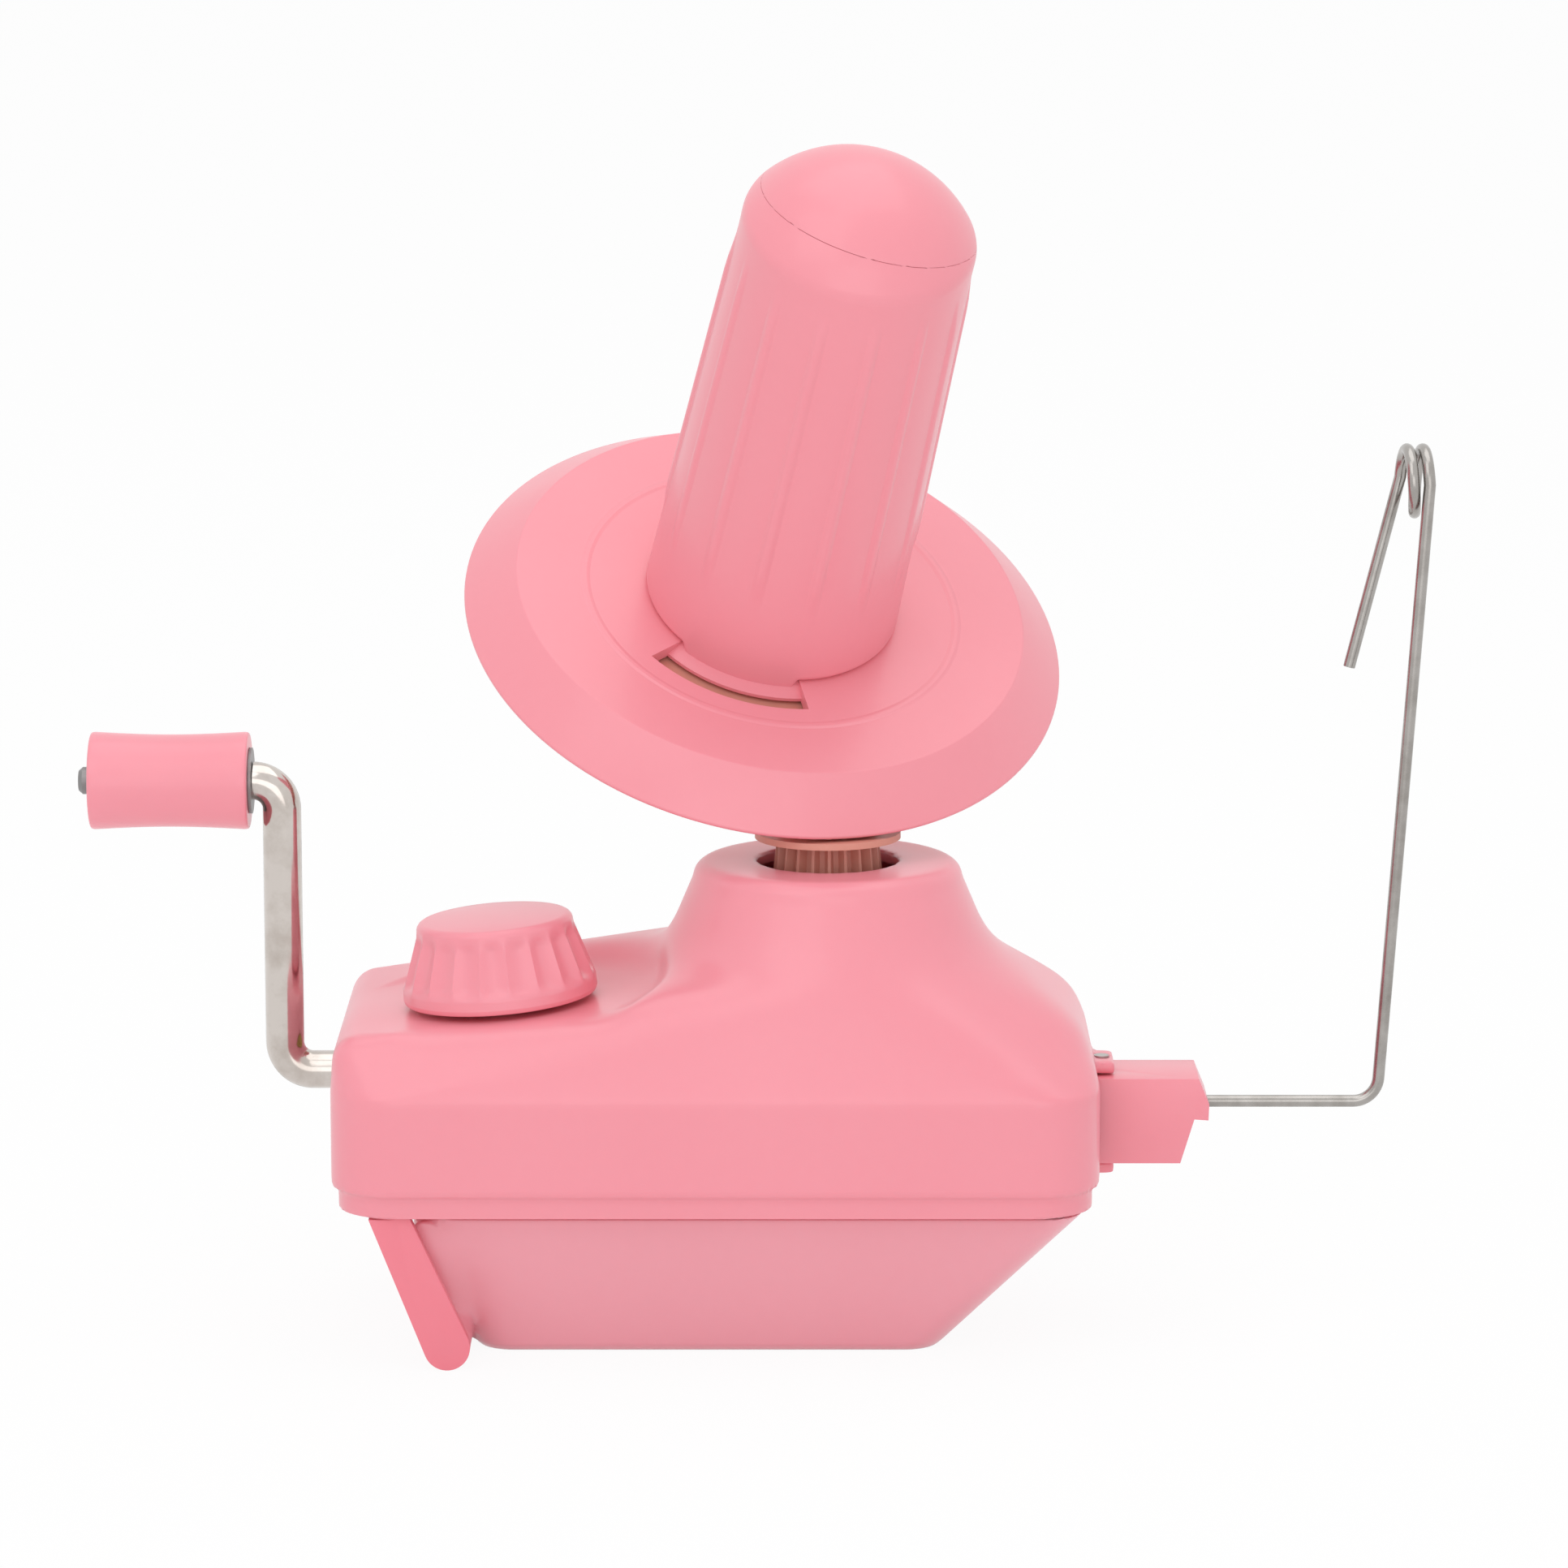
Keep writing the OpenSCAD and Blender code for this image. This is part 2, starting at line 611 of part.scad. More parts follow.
module crank_rod() color(steel) {
    low_bend = [arm_x + rod_bend_r, 0, crank_z + rod_bend_r];
    high_bend = [arm_x - rod_bend_r, 0, grip_axis_z - rod_bend_r];
    bar_x(low_bend[0], post_x + post_t / 2 + 2, crank_z, rod_r);
    translate(low_bend) rotate([90, 180, 0]) rotate_extrude(angle = 90) translate([rod_bend_r, 0]) circle(rod_r);
    translate([arm_x, 0, low_bend[2]]) cylinder(r = rod_r, h = high_bend[2] - low_bend[2]);
    translate(high_bend) rotate([90, 0, 0]) rotate_extrude(angle = 90) translate([rod_bend_r, 0]) circle(rod_r);
    bar_x(grip_end_x - 1.8, high_bend[0], grip_axis_z, spindle_r);
}

// One station of the crown gear at an angle, for a cone half-angle and a radius from the crank axis.
function crown_point(cone, radius, turn) = [-radius / tan(cone), radius * cos(turn), radius * sin(turn)];

module crank_gear() color(tan_gear) translate([0, 0, crank_z]) difference() {
    union() {
        crown_rim();
        bar_x(crown_back_x, crown_back_x + 3, 0, crown_r - crown_face + 0.6);
        bar_x(crown_back_x - crown_hub_len + 3, crown_back_x + 3, 0, crown_hub_r);
    }
    bar_x(crown_back_x - crown_hub_len, 2, 0, rod_r + seat_fit);
}

// The toothed rim of the crown gear; its flanks run to the crossing of the two shafts.
module crown_rim() {
    rise = atan(tooth_top * crown_module / crown_dist);
    fall = atan(tooth_root * crown_module / crown_dist);
    pitch = 360 / crown_teeth;
    low = tooth_share * pitch / 2 + tooth_root * crown_module * tan(flank) / crown_r * 180 / PI;
    high = tooth_share * pitch / 2 - tooth_top * crown_module * tan(flank) / crown_r * 180 / PI;
    inner = crown_r - crown_face;
    stations = [for (i = [0 : crown_teeth - 1])
                for (p = [[-low, -fall], [-high, rise], [high, rise], [low, -fall]])
                [crown_cone + p[1], 90 + (i + 0.5) * pitch + p[0]]];
    count = len(stations);
    points = concat([for (s = stations) crown_point(s[0], inner, s[1])],
                    [for (s = stations) crown_point(s[0], crown_r, s[1])],
                    [for (s = stations) [crown_back_x, inner * cos(s[1]), inner * sin(s[1])]],
                    [for (s = stations) [crown_back_x, crown_r * cos(s[1]), crown_r * sin(s[1])]]);
    faces = [for (i = [0 : count - 1])
             let (n = (i + 1) % count)
             for (f = [[i, n, count + n, count + i],
                       [count + i, count + n, 3 * count + n, 3 * count + i],
                       [3 * count + i, 3 * count + n, 2 * count + n, 2 * count + i],
                       [2 * count + i, 2 * count + n, n, i]])
             f];
    polyhedron(points, faces);
}

module crank_collar() color(dark_steel) translate([-body_left + crank_bush_len + move_gap, 0, crank_z])
    rotate([0, 90, 0]) ring(rod_r + 3.5, rod_r + seat_fit, 5);

module grip_washer() color(dark_steel) translate([grip_start_x + 0.1, 0, grip_axis_z]) rotate([0, 90, 0])
    ring(6.5, spindle_r + seat_fit, 0.5);

module grip_nut() color(dark_steel) translate([grip_end_x - 0.2, 0, grip_axis_z]) rotate([0, -90, 0]) difference() {
    union() {
        cylinder(r = spindle_r + 0.7, h = 1.4);
        translate([0, 0, 1.4]) cylinder(r1 = spindle_r + 0.7, r2 = spindle_r, h = 0.8);
    }
    translate([0, 0, -1]) cylinder(r = spindle_r + seat_fit, h = 2.65);
}

module grip() color(pink) translate([grip_end_x, 0, grip_axis_z]) rotate([0, 90, 0]) {
    steps = 8;
    edge = 0.8;
    side = [for (i = [0 : steps])
            let (t = i / steps)
            [grip_r - grip_waist * sin(180 * t), edge + (grip_len - 2 * edge) * t]];
    rotate_extrude() polygon(concat([[spindle_r + 2 * run_fit, 0], [grip_r - edge, 0]], side,
                                    [[grip_r - edge, grip_len], [spindle_r + 2 * run_fit, grip_len]]));
}

module rotor_shaft() color(steel) translate([0, 0, pinion_low_z - 0.5])
    cylinder(r = shaft_r, h = neck_top_z + shaft_top_h - pinion_low_z + 0.5);

module rotor_pinion() color(tan_gear) difference() {
    low_r = (pinion_low_z - crank_z) * tan(pinion_cone);
    pinion_module = 2 * low_r / pinion_teeth;
    union() {
        translate([0, 0, pinion_low_z])
            linear_extrude(pinion_top_z - pinion_low_z, scale = (pinion_top_z - crank_z) / (pinion_low_z - crank_z))
                polygon(gear_outline(pinion_teeth, low_r, tooth_top * pinion_module / cos(pinion_cone),
                                     tooth_root * pinion_module / cos(pinion_cone), tooth_share,
                                     flank_in_plane(pinion_cone)));
        translate([0, 0, pinion_top_z - 0.4]) cylinder(r = shaft_r + 1.6, h = 1);
    }
    translate([0, 0, pinion_low_z - 1]) cylinder(r = shaft_r + seat_fit, h = 20);
}

// A point of the tilt plane: u down the plate's slope and a along the axis, as distance and height.
function tilt_point(u, a) = [u * cos(tilt) - a * sin(tilt), apex_h - a * cos(tilt) - u * sin(tilt)];

module tilt_carrier() color(tan_gear) difference() {
    hub_low = sun_top_h + 0.7;
    low_a = carrier_top_a + carrier_t;
    near_u = (carrier_hub_r + carrier_top_a * sin(tilt)) / cos(tilt);
    low_u = (apex_h - low_a * cos(tilt) - hub_low) / sin(tilt);
    union() {
        translate([0, 0, neck_top_z]) rotate([0, 0, lean_az]) {
            rotate([90, 0, 0]) linear_extrude(2 * carrier_half, center = true)
                polygon([tilt_point(0, carrier_top_a), tilt_point(near_u, carrier_top_a),
                         [carrier_hub_r, hub_low], tilt_point(low_u, low_a), tilt_point(0, low_a)]);
            translate([0, 0, carrier_hub_h]) cylinder(r = carrier_hub_r, h = hub_low + 0.4 - carrier_hub_h);
        }
        at_spool() translate([0, 0, -axle_low_a]) cylinder(r = axle_boss_r, h = axle_low_a - carrier_top_a);
        at_spool() translate([0, 0, -carrier_top_a - carrier_disc_t])
            cylinder(r = carrier_disc_r, h = carrier_disc_t);
    }
    translate([0, 0, neck_top_z]) cylinder(r = shaft_r + seat_fit, h = shaft_top_h + 0.05);
    at_spool() translate([0, 0, -axle_low_a - 1]) cylinder(r = shaft_r + seat_fit, h = 20);
}

module spool_axle() color(steel) at_spool() translate([0, 0, -axle_low_a])
    cylinder(r = shaft_r, h = axle_low_a + axle_top_z);

module axle_washer() color(dark_steel) at_spool() translate([0, 0, hub_top_z + 0.3])
    ring(hub_r, shaft_r + seat_fit, washer_t - 0.1);

module axle_clip() color(dark_steel) at_spool() translate([0, 0, hub_top_z + washer_t + 0.3])
    ring(shaft_r + 2.5, shaft_r + seat_fit, clip_t);

module spool_flange() color(pink) at_spool() difference() {
    union() {
        rotate_extrude() polygon([[bush_r + seat_fit, -under_a], [plate_r - 6, -under_a], [plate_r - 6, -rim_a],
                                  [rim_r - 0.8, -rim_a], [rim_r, -rim_a + 0.8], [plate_r, -plate_a],
                                  [hub_r, -plate_a], [hub_r, hub_top_z], [bush_r + seat_fit, hub_top_z]]);
        rotate_extrude() translate([ring_line_r, -plate_a]) square([0.8, 0.3]);
    }
    translate([0, 0, -rim_a])
        linear_extrude(skirt_drop - plate_t, scale = under_a / rim_a)
            polygon(gear_outline(ring_teeth, rim_a * tan(ring_cone),
                                 tooth_root * ring_module / cos(ring_cone),
                                 tooth_top * ring_module / cos(ring_cone), 1 - tooth_share,
                                 flank_in_plane(ring_cone)));
    translate([0, 0, -plate_a]) rotate([0, 0, slot_start])
        rotate_extrude(angle = slot_sweep)
            polygon([[barrel_foot_r - foot_round, 0], [slot_r - slot_w, -slot_ramp], [slot_r - slot_w, -plate_t - 1],
                     [slot_r, -plate_t - 1], [slot_r, 1], [barrel_foot_r - foot_round, 1]]);
}

// Outer radius of the barrel at a height on the spool axis.
function barrel_radius(z) = barrel_foot_r
    + (barrel_top_r - barrel_foot_r) * (z + plate_a) / (wall_top_z + plate_a);

// Outline of the barrel's closed end from its wall to the axis, moved in by inset.
function end_outline(inset) = concat(
    [[barrel_top_r - inset, wall_top_z]],
    [for (i = [0 : 4]) let (a = dome_turn * i / 4)
        [barrel_top_r - dome_edge_r + (dome_edge_r - inset) * cos(a),
         barrel_shoulder_z + (dome_edge_r - inset) * sin(a)]],
    [for (i = [1 : 8]) let (a = dome_turn + (90 - dome_turn) * i / 8)
        [(dome_r - inset) * cos(a), dome_z + (dome_r - inset) * sin(a)]]);

// The inside of the barrel's closed end, from the axis back to the wall.
function end_inside() = let (line = end_outline(barrel_wall)) [for (i = [len(line) - 1 : -1 : 0]) line[i]];

// Places children on the lid's seam, with +Z out of the lid.
module at_lid() translate([0, 0, dome_z]) rotate([0, 0, lid_az]) rotate([0, lid_lean, 0])
    translate([0, 0, lid_h]) children();

module spool_barrel() color(pink) at_spool() difference() {
    lean = atan((barrel_foot_r - barrel_top_r) / (wall_top_z + plate_a));
    rib_low = -plate_a + 18;
    union() {
        rotate_extrude() polygon(concat(
            [[foot_in_r, -plate_a]],
            [for (a = [-90 : 15 : 0]) [barrel_foot_r - foot_round + foot_round * cos(a),
                                       -plate_a + foot_round + foot_round * sin(a)]],
            end_outline(0),
            end_inside(),
            [[foot_in_r, -plate_a + foot_round]]));
        for (i = [0 : rib_count - 1])
            rotate([0, 0, rib_az + i * 360 / rib_count])
                translate([barrel_radius(rib_low), 0, rib_low]) rotate([0, -lean, 0])
                    translate([-1, -rib_w / 2, 0]) cube([1 + rib_h, rib_w, wall_top_z - rib_low]);
    }
    at_lid() cylinder(r = 2 * dome_r, h = 2 * dome_r);
}

module spool_cap() color(pink) at_spool() {
    intersection() {
        rotate_extrude() polygon(concat(end_outline(0), end_inside()));
        at_lid() translate([0, 0, 0.1]) cylinder(r = 2 * dome_r, h = dome_r);
    }
    at_lid() translate([0, 0, -lid_plug]) ring(lid_plug_r, lid_plug_r - 1.8, lid_plug + 3.6);
}

module spool_bushes() color(bronze) at_spool()
    for (z = [-under_a, hub_top_z - spool_bush_len])
        translate([0, 0, z]) ring(bush_r, shaft_r + run_fit, spool_bush_len);

module clamp_knob() color(pink) at_knob() translate([0, 0, 1.2]) difference() {
    band = 2.2;
    rotate_extrude() polygon([[0, 0], [knob_r - 0.6, 0], [knob_r, 0.6], [knob_r, band],
                              [knob_top_r, knob_h - 1.8], [knob_top_r - 2.2, knob_h], [0, knob_h]]);
    flute_r = PI * knob_r / knob_flutes;
    side = atan((knob_r - knob_top_r) / (knob_h - 1.8 - band));
    for (i = [0 : knob_flutes - 1])
        rotate([0, 0, i * 360 / knob_flutes])
            translate([knob_r + flute_r * 0.8, 0, band + 0.6]) rotate([0, -side, 0])
                cylinder(r = flute_r, h = knob_h - band - 3.8);
    translate([0, 0, -1]) cylinder(r = screw_r + seat_fit, h = 13);
}

module clamp_screw() color(steel) at_knob() translate([0, 0, -screw_len])
    cylinder(r = screw_r, h = screw_len + 12);

// Places children at the barrel nut's centre, with +Z up the clamp screw.
module at_nut() at_knob() translate([0, 0, -nut_drop / cos(knob_lean)]) children();

module barrel_nut() color(steel) at_nut() difference() {
    rotate([90, 0, 0]) cylinder(r = nut_r, h = nut_len, center = true);
    cylinder(r = screw_r + run_fit, h = 4 * nut_r, center = true);
}

// The jaw's tray form between its floor outline and its top outline, or its cavity when inset.
module jaw_form(inset) {
    r = jaw_corner_r - inset;
    low = inset;
    high = inset > 0 ? jaw_top_z + 1 : jaw_top_z;
    hull() {
        for (y = [-1, 1]) {
            for (x = [jaw_foot_left_x + r + inset, jaw_foot_x - r - inset])
                translate([x, y * (jaw_foot_half - r - inset), low])
                    cylinder(r1 = r - 1.6, r2 = r, h = 1.4, $fn = 32);
            for (x = [jaw_left_x + r + inset, jaw_tip_x - r - inset])
                translate([x, y * (jaw_half - r - inset), high - 0.01]) cylinder(r = r, h = 0.01, $fn = 32);
        }
    }
}

// The jaw's end wall with the barrel that the hinge pin sits in.
module jaw_spine() {
    bar_y(-hinge_x, hinge_z, hinge_eye_r, 2 * jaw_half);
    hull() {
        bar_y(-hinge_x, hinge_z, hinge_eye_r, 2 * jaw_foot_half, $fn = 32);
        bar_y(jaw_left_x + spine_r, spine_z, spine_r, 2 * jaw_half, $fn = 32);
    }
}

module clamp_jaw() color(pink) difference() {
    union() {
        difference() {
            union() {
                jaw_form(0);
                jaw_spine();
            }
            difference() {
                jaw_form(jaw_wall);
                jaw_spine();
            }
        }
        for (spot = jaw_screw_spots)
            translate([spot[0], spot[1], 1]) cylinder(r = 4, h = jaw_top_z - plate_jaw_t - 1);
        translate([nut_x - saddle_half_x, -knob_front - nut_len / 2 - nut_room, 1])
            cube([2 * saddle_half_x, nut_len + 2 * nut_room, saddle_top_z - 1]);
    }
    bar_y(-hinge_x, hinge_z, hinge_pin_r + seat_fit, 3 * jaw_half);
    for (spot = jaw_screw_spots)
        translate([spot[0], spot[1], jaw_top_z - plate_jaw_t - 10]) cylinder(r = screw_hole_r, h = 11);
    translate([nut_x, -knob_front, nut_z]) rotate([90, 0, 0])
        cylinder(r = nut_r + nut_room, h = nut_len + 2 * nut_room + 2, center = true);
    translate([nut_x - saddle_half_x - 3, -knob_front - screw_slot_half, nut_z])
        cube([2 * saddle_half_x + 3 - 1.5, 2 * screw_slot_half, saddle_top_z]);
    translate([nut_x - screw_slot_half - 1, -knob_front - screw_slot_half, jaw_wall])
        cube([2 * screw_slot_half + 2, 2 * screw_slot_half, nut_z - jaw_wall]);
}

module jaw_plate() color(pink) difference() {
    translate([0, 0, jaw_top_z - plate_jaw_t]) linear_extrude(plate_jaw_t)
        rounded_rect(-hinge_x + 3.6, jaw_plate_tip_x, jaw_plate_half, jaw_corner_r - jaw_wall);
    for (spot = jaw_screw_spots)
        translate([spot[0], spot[1], 0]) {
            cylinder(r = screw_hole_r + 0.1, h = jaw_top_z + 1);
            translate([0, 0, jaw_top_z - 1]) cylinder(r = 3, h = 2);
        }
    translate([nut_x - 13, -knob_front - screw_slot_half, 0])
        cube([13 + screw_slot_half, 2 * screw_slot_half, jaw_top_z + 1]);
}

module jaw_pad() color(rubber) difference() {
    translate([0, 0, jaw_top_z]) linear_extrude(pad_t)
        rounded_rect(-46, jaw_plate_tip_x - 2, jaw_plate_half - 2, 4);
    for (spot = jaw_screw_spots)
        translate([spot[0], spot[1], 0]) cylinder(r = 3.4, h = jaw_top_z + 2 * pad_t);
}

module jaw_screws() color(dark_steel)
    for (spot = jaw_screw_spots)
        translate([spot[0], spot[1], jaw_top_z - 0.1]) mirror([0, 0, 1]) screw_up(0, 10, 0.9);

module hinge_pin() color(steel) bar_y(-hinge_x, hinge_z, hinge_pin_r, 2 * leg_out - 2.2);

module guide_block() color(pink) difference() {
    top = block_z + block_h;
    intersection() {
        translate([0, 0, block_z]) linear_extrude(block_h) {
            translate([guide_pin_x, 0]) circle(block_half);
            translate([guide_pin_x, -block_half]) square([block_reach + 1, 2 * block_half]);
        }
        rotate([90, 0, 0]) linear_extrude(4 * block_half, center = true)
            polygon([[guide_pin_x - 2 * block_half, block_z], [nose_x - 5.6, block_z], [nose_x - 2.9, wire_z - 1.8],
                     [nose_x - 0.1, wire_z - 2], [nose_x, wire_z + 1.3], [nose_x - 2.1, top],
                     [guide_pin_x - 2 * block_half, top]]);
    }
    translate([guide_pin_x, 0, block_z - 1]) cylinder(r = guide_pin_r + run_fit, h = block_h + 2);
    bar_x(wire_in_x - 0.2, nose_x + 5, wire_z, wire_r + run_fit);
}

// The wire's middle line past its level stretch: the bend, the upright, the eye's turns and the short leg.
function wire_path() =
    let (rise = 90 - wire_lean,
         trim = wire_bend_r * tan(rise / 2),
         bend = [for (i = [0 : 6])
                 let (t = rise * i / 6)
                 [wire_corner_x - trim + wire_bend_r * sin(t), 0, wire_z + wire_bend_r * (1 - cos(t))]],
         upright = [for (t = [0.5, 0.85, 0.9, 0.93, 0.96])
                    let (z = wire_z + (eye_z - wire_z) * t)
                    [wire_corner_x + (z - wire_z) * tan(wire_lean), 0, z]],
         count = eye_turns * eye_steps,
         eye = [for (i = [0 : count])
                let (t = 360 * i / eye_steps)
                [wire_top_x - eye_pitch * i / eye_steps, eye_r * (1 - cos(t)), eye_z + eye_r * sin(t)]],
         last = eye[len(eye) - 1],
         leg = [for (t = [0.08, 0.5, 1])
                last - [leg_len * t * sin(leg_lean), 0, leg_len * t * cos(leg_lean)]])
    concat([[wire_corner_x - trim - 3, 0, wire_z]], bend, upright, eye, leg);

// Direction of a path at a point.
function path_way(path, i) =
    let (d = path[min(i + 1, len(path) - 1)] - path[max(i - 1, 0)])
    d / norm(d);

// One ring of the tube around a path point.
function tube_ring(path, i, r, sides) =
    let (way = path_way(path, i),
         across = cross(way, [1, 1, 0]),
         e1 = across / norm(across),
         e2 = cross(way, e1))
    [for (k = [0 : sides - 1]) path[i] + r * (cos(360 * k / sides) * e1 + sin(360 * k / sides) * e2)];

// A round tube along a path, closed at both ends.
module tube(path, r, sides) {
    last = (len(path) - 1) * sides;
    points = [for (i = [0 : len(path) - 1]) each tube_ring(path, i, r, sides)];
    walls = [for (i = [0 : len(path) - 2])
             for (k = [0 : sides - 1])
             let (a = i * sides + k, b = i * sides + (k + 1) % sides)
             for (f = [[a, a + sides, b], [b, a + sides, b + sides]])
             f];
    ends = [for (k = [1 : sides - 2])
            for (f = [[0, k, k + 1], [last, last + k + 1, last + k]])
            f];
    polyhedron(points, concat(walls, ends));
}

// Least free gap between stretches of the wire that are not neighbours along it.
function least_gap(path, apart) =
    min([for (i = [0 : len(path) - 1])
         for (j = [i + apart : 1 : len(path) - 1])
         norm(path[i] - path[j])]) - wire_d;

module guide_wire() color(steel) {
    path = wire_path();
    echo(least_wire_gap = least_gap(path, eye_steps / 2));
    bar_x(wire_in_x, path[0][0] + 1, wire_z, wire_r);
    tube(path, wire_r, wire_sides);
}

upper_shell();
base_plate();
housing_pad();
housing_screws();
bearing_bracket();
bracket_screws();
neck_bush();
sun_gear();
crank_bush();
crank_post();
guide_pin();
knob_washer();
crank_rod();
crank_gear();
crank_collar();
grip_washer();
grip_nut();
grip();
rotor_shaft();
rotor_pinion();
tilt_carrier();
spool_axle();
axle_washer();
axle_clip();
spool_flange();
spool_barrel();
spool_cap();
spool_bushes();
clamp_knob();
clamp_screw();
barrel_nut();
clamp_jaw();
jaw_plate();
jaw_pad();
jaw_screws();
hinge_pin();
guide_block();
guide_wire();
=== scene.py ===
"""Looks of the hand-cranked yarn ball winder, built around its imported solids.

Metres, in the frame of the solids: +Z up, +X towards the yarn guide, the crank at -X, the front at -Y.
"""

import json
import logging
import math
from dataclasses import dataclass
from enum import Enum
from typing import Callable, Sequence

import bpy
from mathutils import Matrix, Vector


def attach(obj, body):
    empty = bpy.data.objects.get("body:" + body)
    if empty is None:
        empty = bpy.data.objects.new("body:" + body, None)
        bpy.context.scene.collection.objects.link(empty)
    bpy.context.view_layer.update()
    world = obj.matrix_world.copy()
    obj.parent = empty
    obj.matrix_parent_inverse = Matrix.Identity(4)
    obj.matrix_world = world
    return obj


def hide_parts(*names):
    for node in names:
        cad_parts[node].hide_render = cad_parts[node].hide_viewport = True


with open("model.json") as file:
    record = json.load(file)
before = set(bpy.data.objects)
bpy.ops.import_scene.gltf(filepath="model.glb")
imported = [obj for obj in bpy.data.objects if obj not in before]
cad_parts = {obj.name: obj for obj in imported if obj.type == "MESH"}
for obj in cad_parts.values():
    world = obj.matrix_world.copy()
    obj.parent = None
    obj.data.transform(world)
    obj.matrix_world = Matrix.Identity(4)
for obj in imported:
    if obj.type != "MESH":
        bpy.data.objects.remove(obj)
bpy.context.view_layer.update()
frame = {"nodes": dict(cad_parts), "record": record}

LOG = logging.getLogger("winder")
MM = 0.001
MERGE = 2e-6
Line = list[tuple[float, float]]
Colour = tuple[float, float, float]


def srgb(red: int, green: int, blue: int) -> Colour:
    """Turns an 8-bit display colour into linear light.

    Args:
        red: Red, 0 to 255.
        green: Green, 0 to 255.
        blue: Blue, 0 to 255.

    Returns:
        The colour in linear light.
    """
    def channel(value: int) -> float:
        """Turns one display channel into linear light."""
        share = value / 255
        return share / 12.92 if share <= 0.04045 else ((share + 0.055) / 1.055) ** 2.4
    return channel(red), channel(green), channel(blue)


def rounded(corners: Sequence[tuple[float, float, float]], steps: int = 5) -> Line:
    """Rounds the corners of an open line.

    Args:
        corners: Radius, height and rounding of each corner, in millimetres.
        steps: Pieces of each rounding.

    Returns:
        The line's points in millimetres.
    """
    out: Line = []
    for i, (x, z, radius) in enumerate(corners):
        if radius == 0 or i in (0, len(corners) - 1):
            out.append((x, z))
            continue
        corner = Vector((x, z))
        before = Vector(corners[i - 1][:2]) - corner
        after = Vector(corners[i + 1][:2]) - corner
        half = before.angle(after) / 2
        cut = min(radius / math.tan(half), 0.49 * before.length, 0.49 * after.length)
        before.normalize()
        after.normalize()
        reach = cut * math.tan(half)
        centre = corner + (before + after).normalized() * (reach / math.sin(half))
        start = corner + before * cut - centre
        end = corner + after * cut - centre
        for k in range(steps + 1):
            way = (start * (1 - k / steps) + end * (k / steps)).normalized()
            out.append(tuple(centre + way * reach))
    return out


class Socket:
    """A node's output that takes part in Python arithmetic."""

    def __init__(self, graph: "Graph", output: bpy.types.NodeSocket) -> None:
        """Keeps the output and the graph that it belongs to."""
        self.graph = graph
        self.output = output

    def _math(self, operation: str, other: "Socket | float") -> "Socket":
        """Adds one Math node on this value and another."""
        return self.graph.node("ShaderNodeMath", {"operation": operation}, {0: self, 1: other})

    def __add__(self, other: "Socket | float") -> "Socket":
        """Sum."""
        return self._math("ADD", other)

    def __mul__(self, other: "Socket | float") -> "Socket":
        """Product."""
        return self._math("MULTIPLY", other)

    def largest(self, other: "Socket | float") -> "Socket":
        """The larger of two values."""
        return self._math("MAXIMUM", other)


class Graph:
    """The node tree of one material or world."""

    def __init__(self, tree: bpy.types.NodeTree) -> None:
        """Empties the tree and keeps it."""
        self.tree = tree
        tree.nodes.clear()

    def node(self, kind: str, settings: dict, inputs: dict, output: int | str | None = 0) -> Socket | None:
        """Adds a node.

        Args:
            kind: Blender's type name of the node.
            settings: Attributes that are set before the sockets.
            inputs: Values or Sockets by input name or number.
            output: Name or number of the output that is handed back, or None for an end node.

        Returns:
            The chosen output, if any.
        """
        made = self.tree.nodes.new(kind)
        for name, value in settings.items():
            setattr(made, name, value)
        for name, value in inputs.items():
            if isinstance(value, Socket):
                self.tree.links.new(value.output, made.inputs[name])
            else:
                made.inputs[name].default_value = value
        return None if output is None else Socket(self, made.outputs[output])

    def place(self, scale: Sequence[float] = (1, 1, 1)) -> Socket:
        """Object coordinates, stretched.

        Args:
            scale: Factor on each axis.

        Returns:
            The coordinates.
        """
        coordinates = self.node("ShaderNodeTexCoord", {}, {}, "Object")
        return self.node("ShaderNodeMapping", {}, {"Vector": coordinates, "Scale": tuple(scale)})

    def noise(self, where: Socket, scale: float, detail: float, roughness: float = 0.5) -> Socket:
        """Noise between 0 and 1.

        Args:
            where: Coordinates.
            scale: Grains per metre.
            detail: Octaves.
            roughness: Weight of the finer octaves.

        Returns:
            The value.
        """
        return self.node("ShaderNodeTexNoise", {}, {"Vector": where, "Scale": scale, "Detail": detail,
                                                    "Roughness": roughness})

    def spread(self, value: Socket, low: float, high: float, to_low: float, to_high: float) -> Socket:
        """Maps a stretch of values to another, clamped.

        Args:
            value: What is mapped.
            low: Start of the stretch.
            high: End of the stretch.
            to_low: Value at the start.
            to_high: Value at the end.

        Returns:
            The mapped value.
        """
        return self.node("ShaderNodeMapRange", {"clamp": True}, {
            "Value": value, "From Min": low, "From Max": high, "To Min": to_low, "To Max": to_high})

    def blend(self, factor: Socket, first: Colour, second: Colour) -> Socket:
        """Mixes two colours.

        Args:
            factor: 0 gives the first and 1 the second.
            first: A linear colour.
            second: A linear colour.

        Returns:
            The mixed colour.
        """
        return self.node("ShaderNodeMix", {"data_type": "RGBA"},
                         {0: factor, 6: (*first, 1.0), 7: (*second, 1.0)}, 2)

    def bump(self, height: Socket, strength: float, distance: float) -> Socket:
        """Turns a height into a normal.

        Args:
            height: The height.
            strength: How strongly it shows.
            distance: Height of a full step in metres.

        Returns:
            The normal.
        """
        return self.node("ShaderNodeBump", {}, {"Height": height, "Strength": strength, "Distance": distance},
                         "Normal")


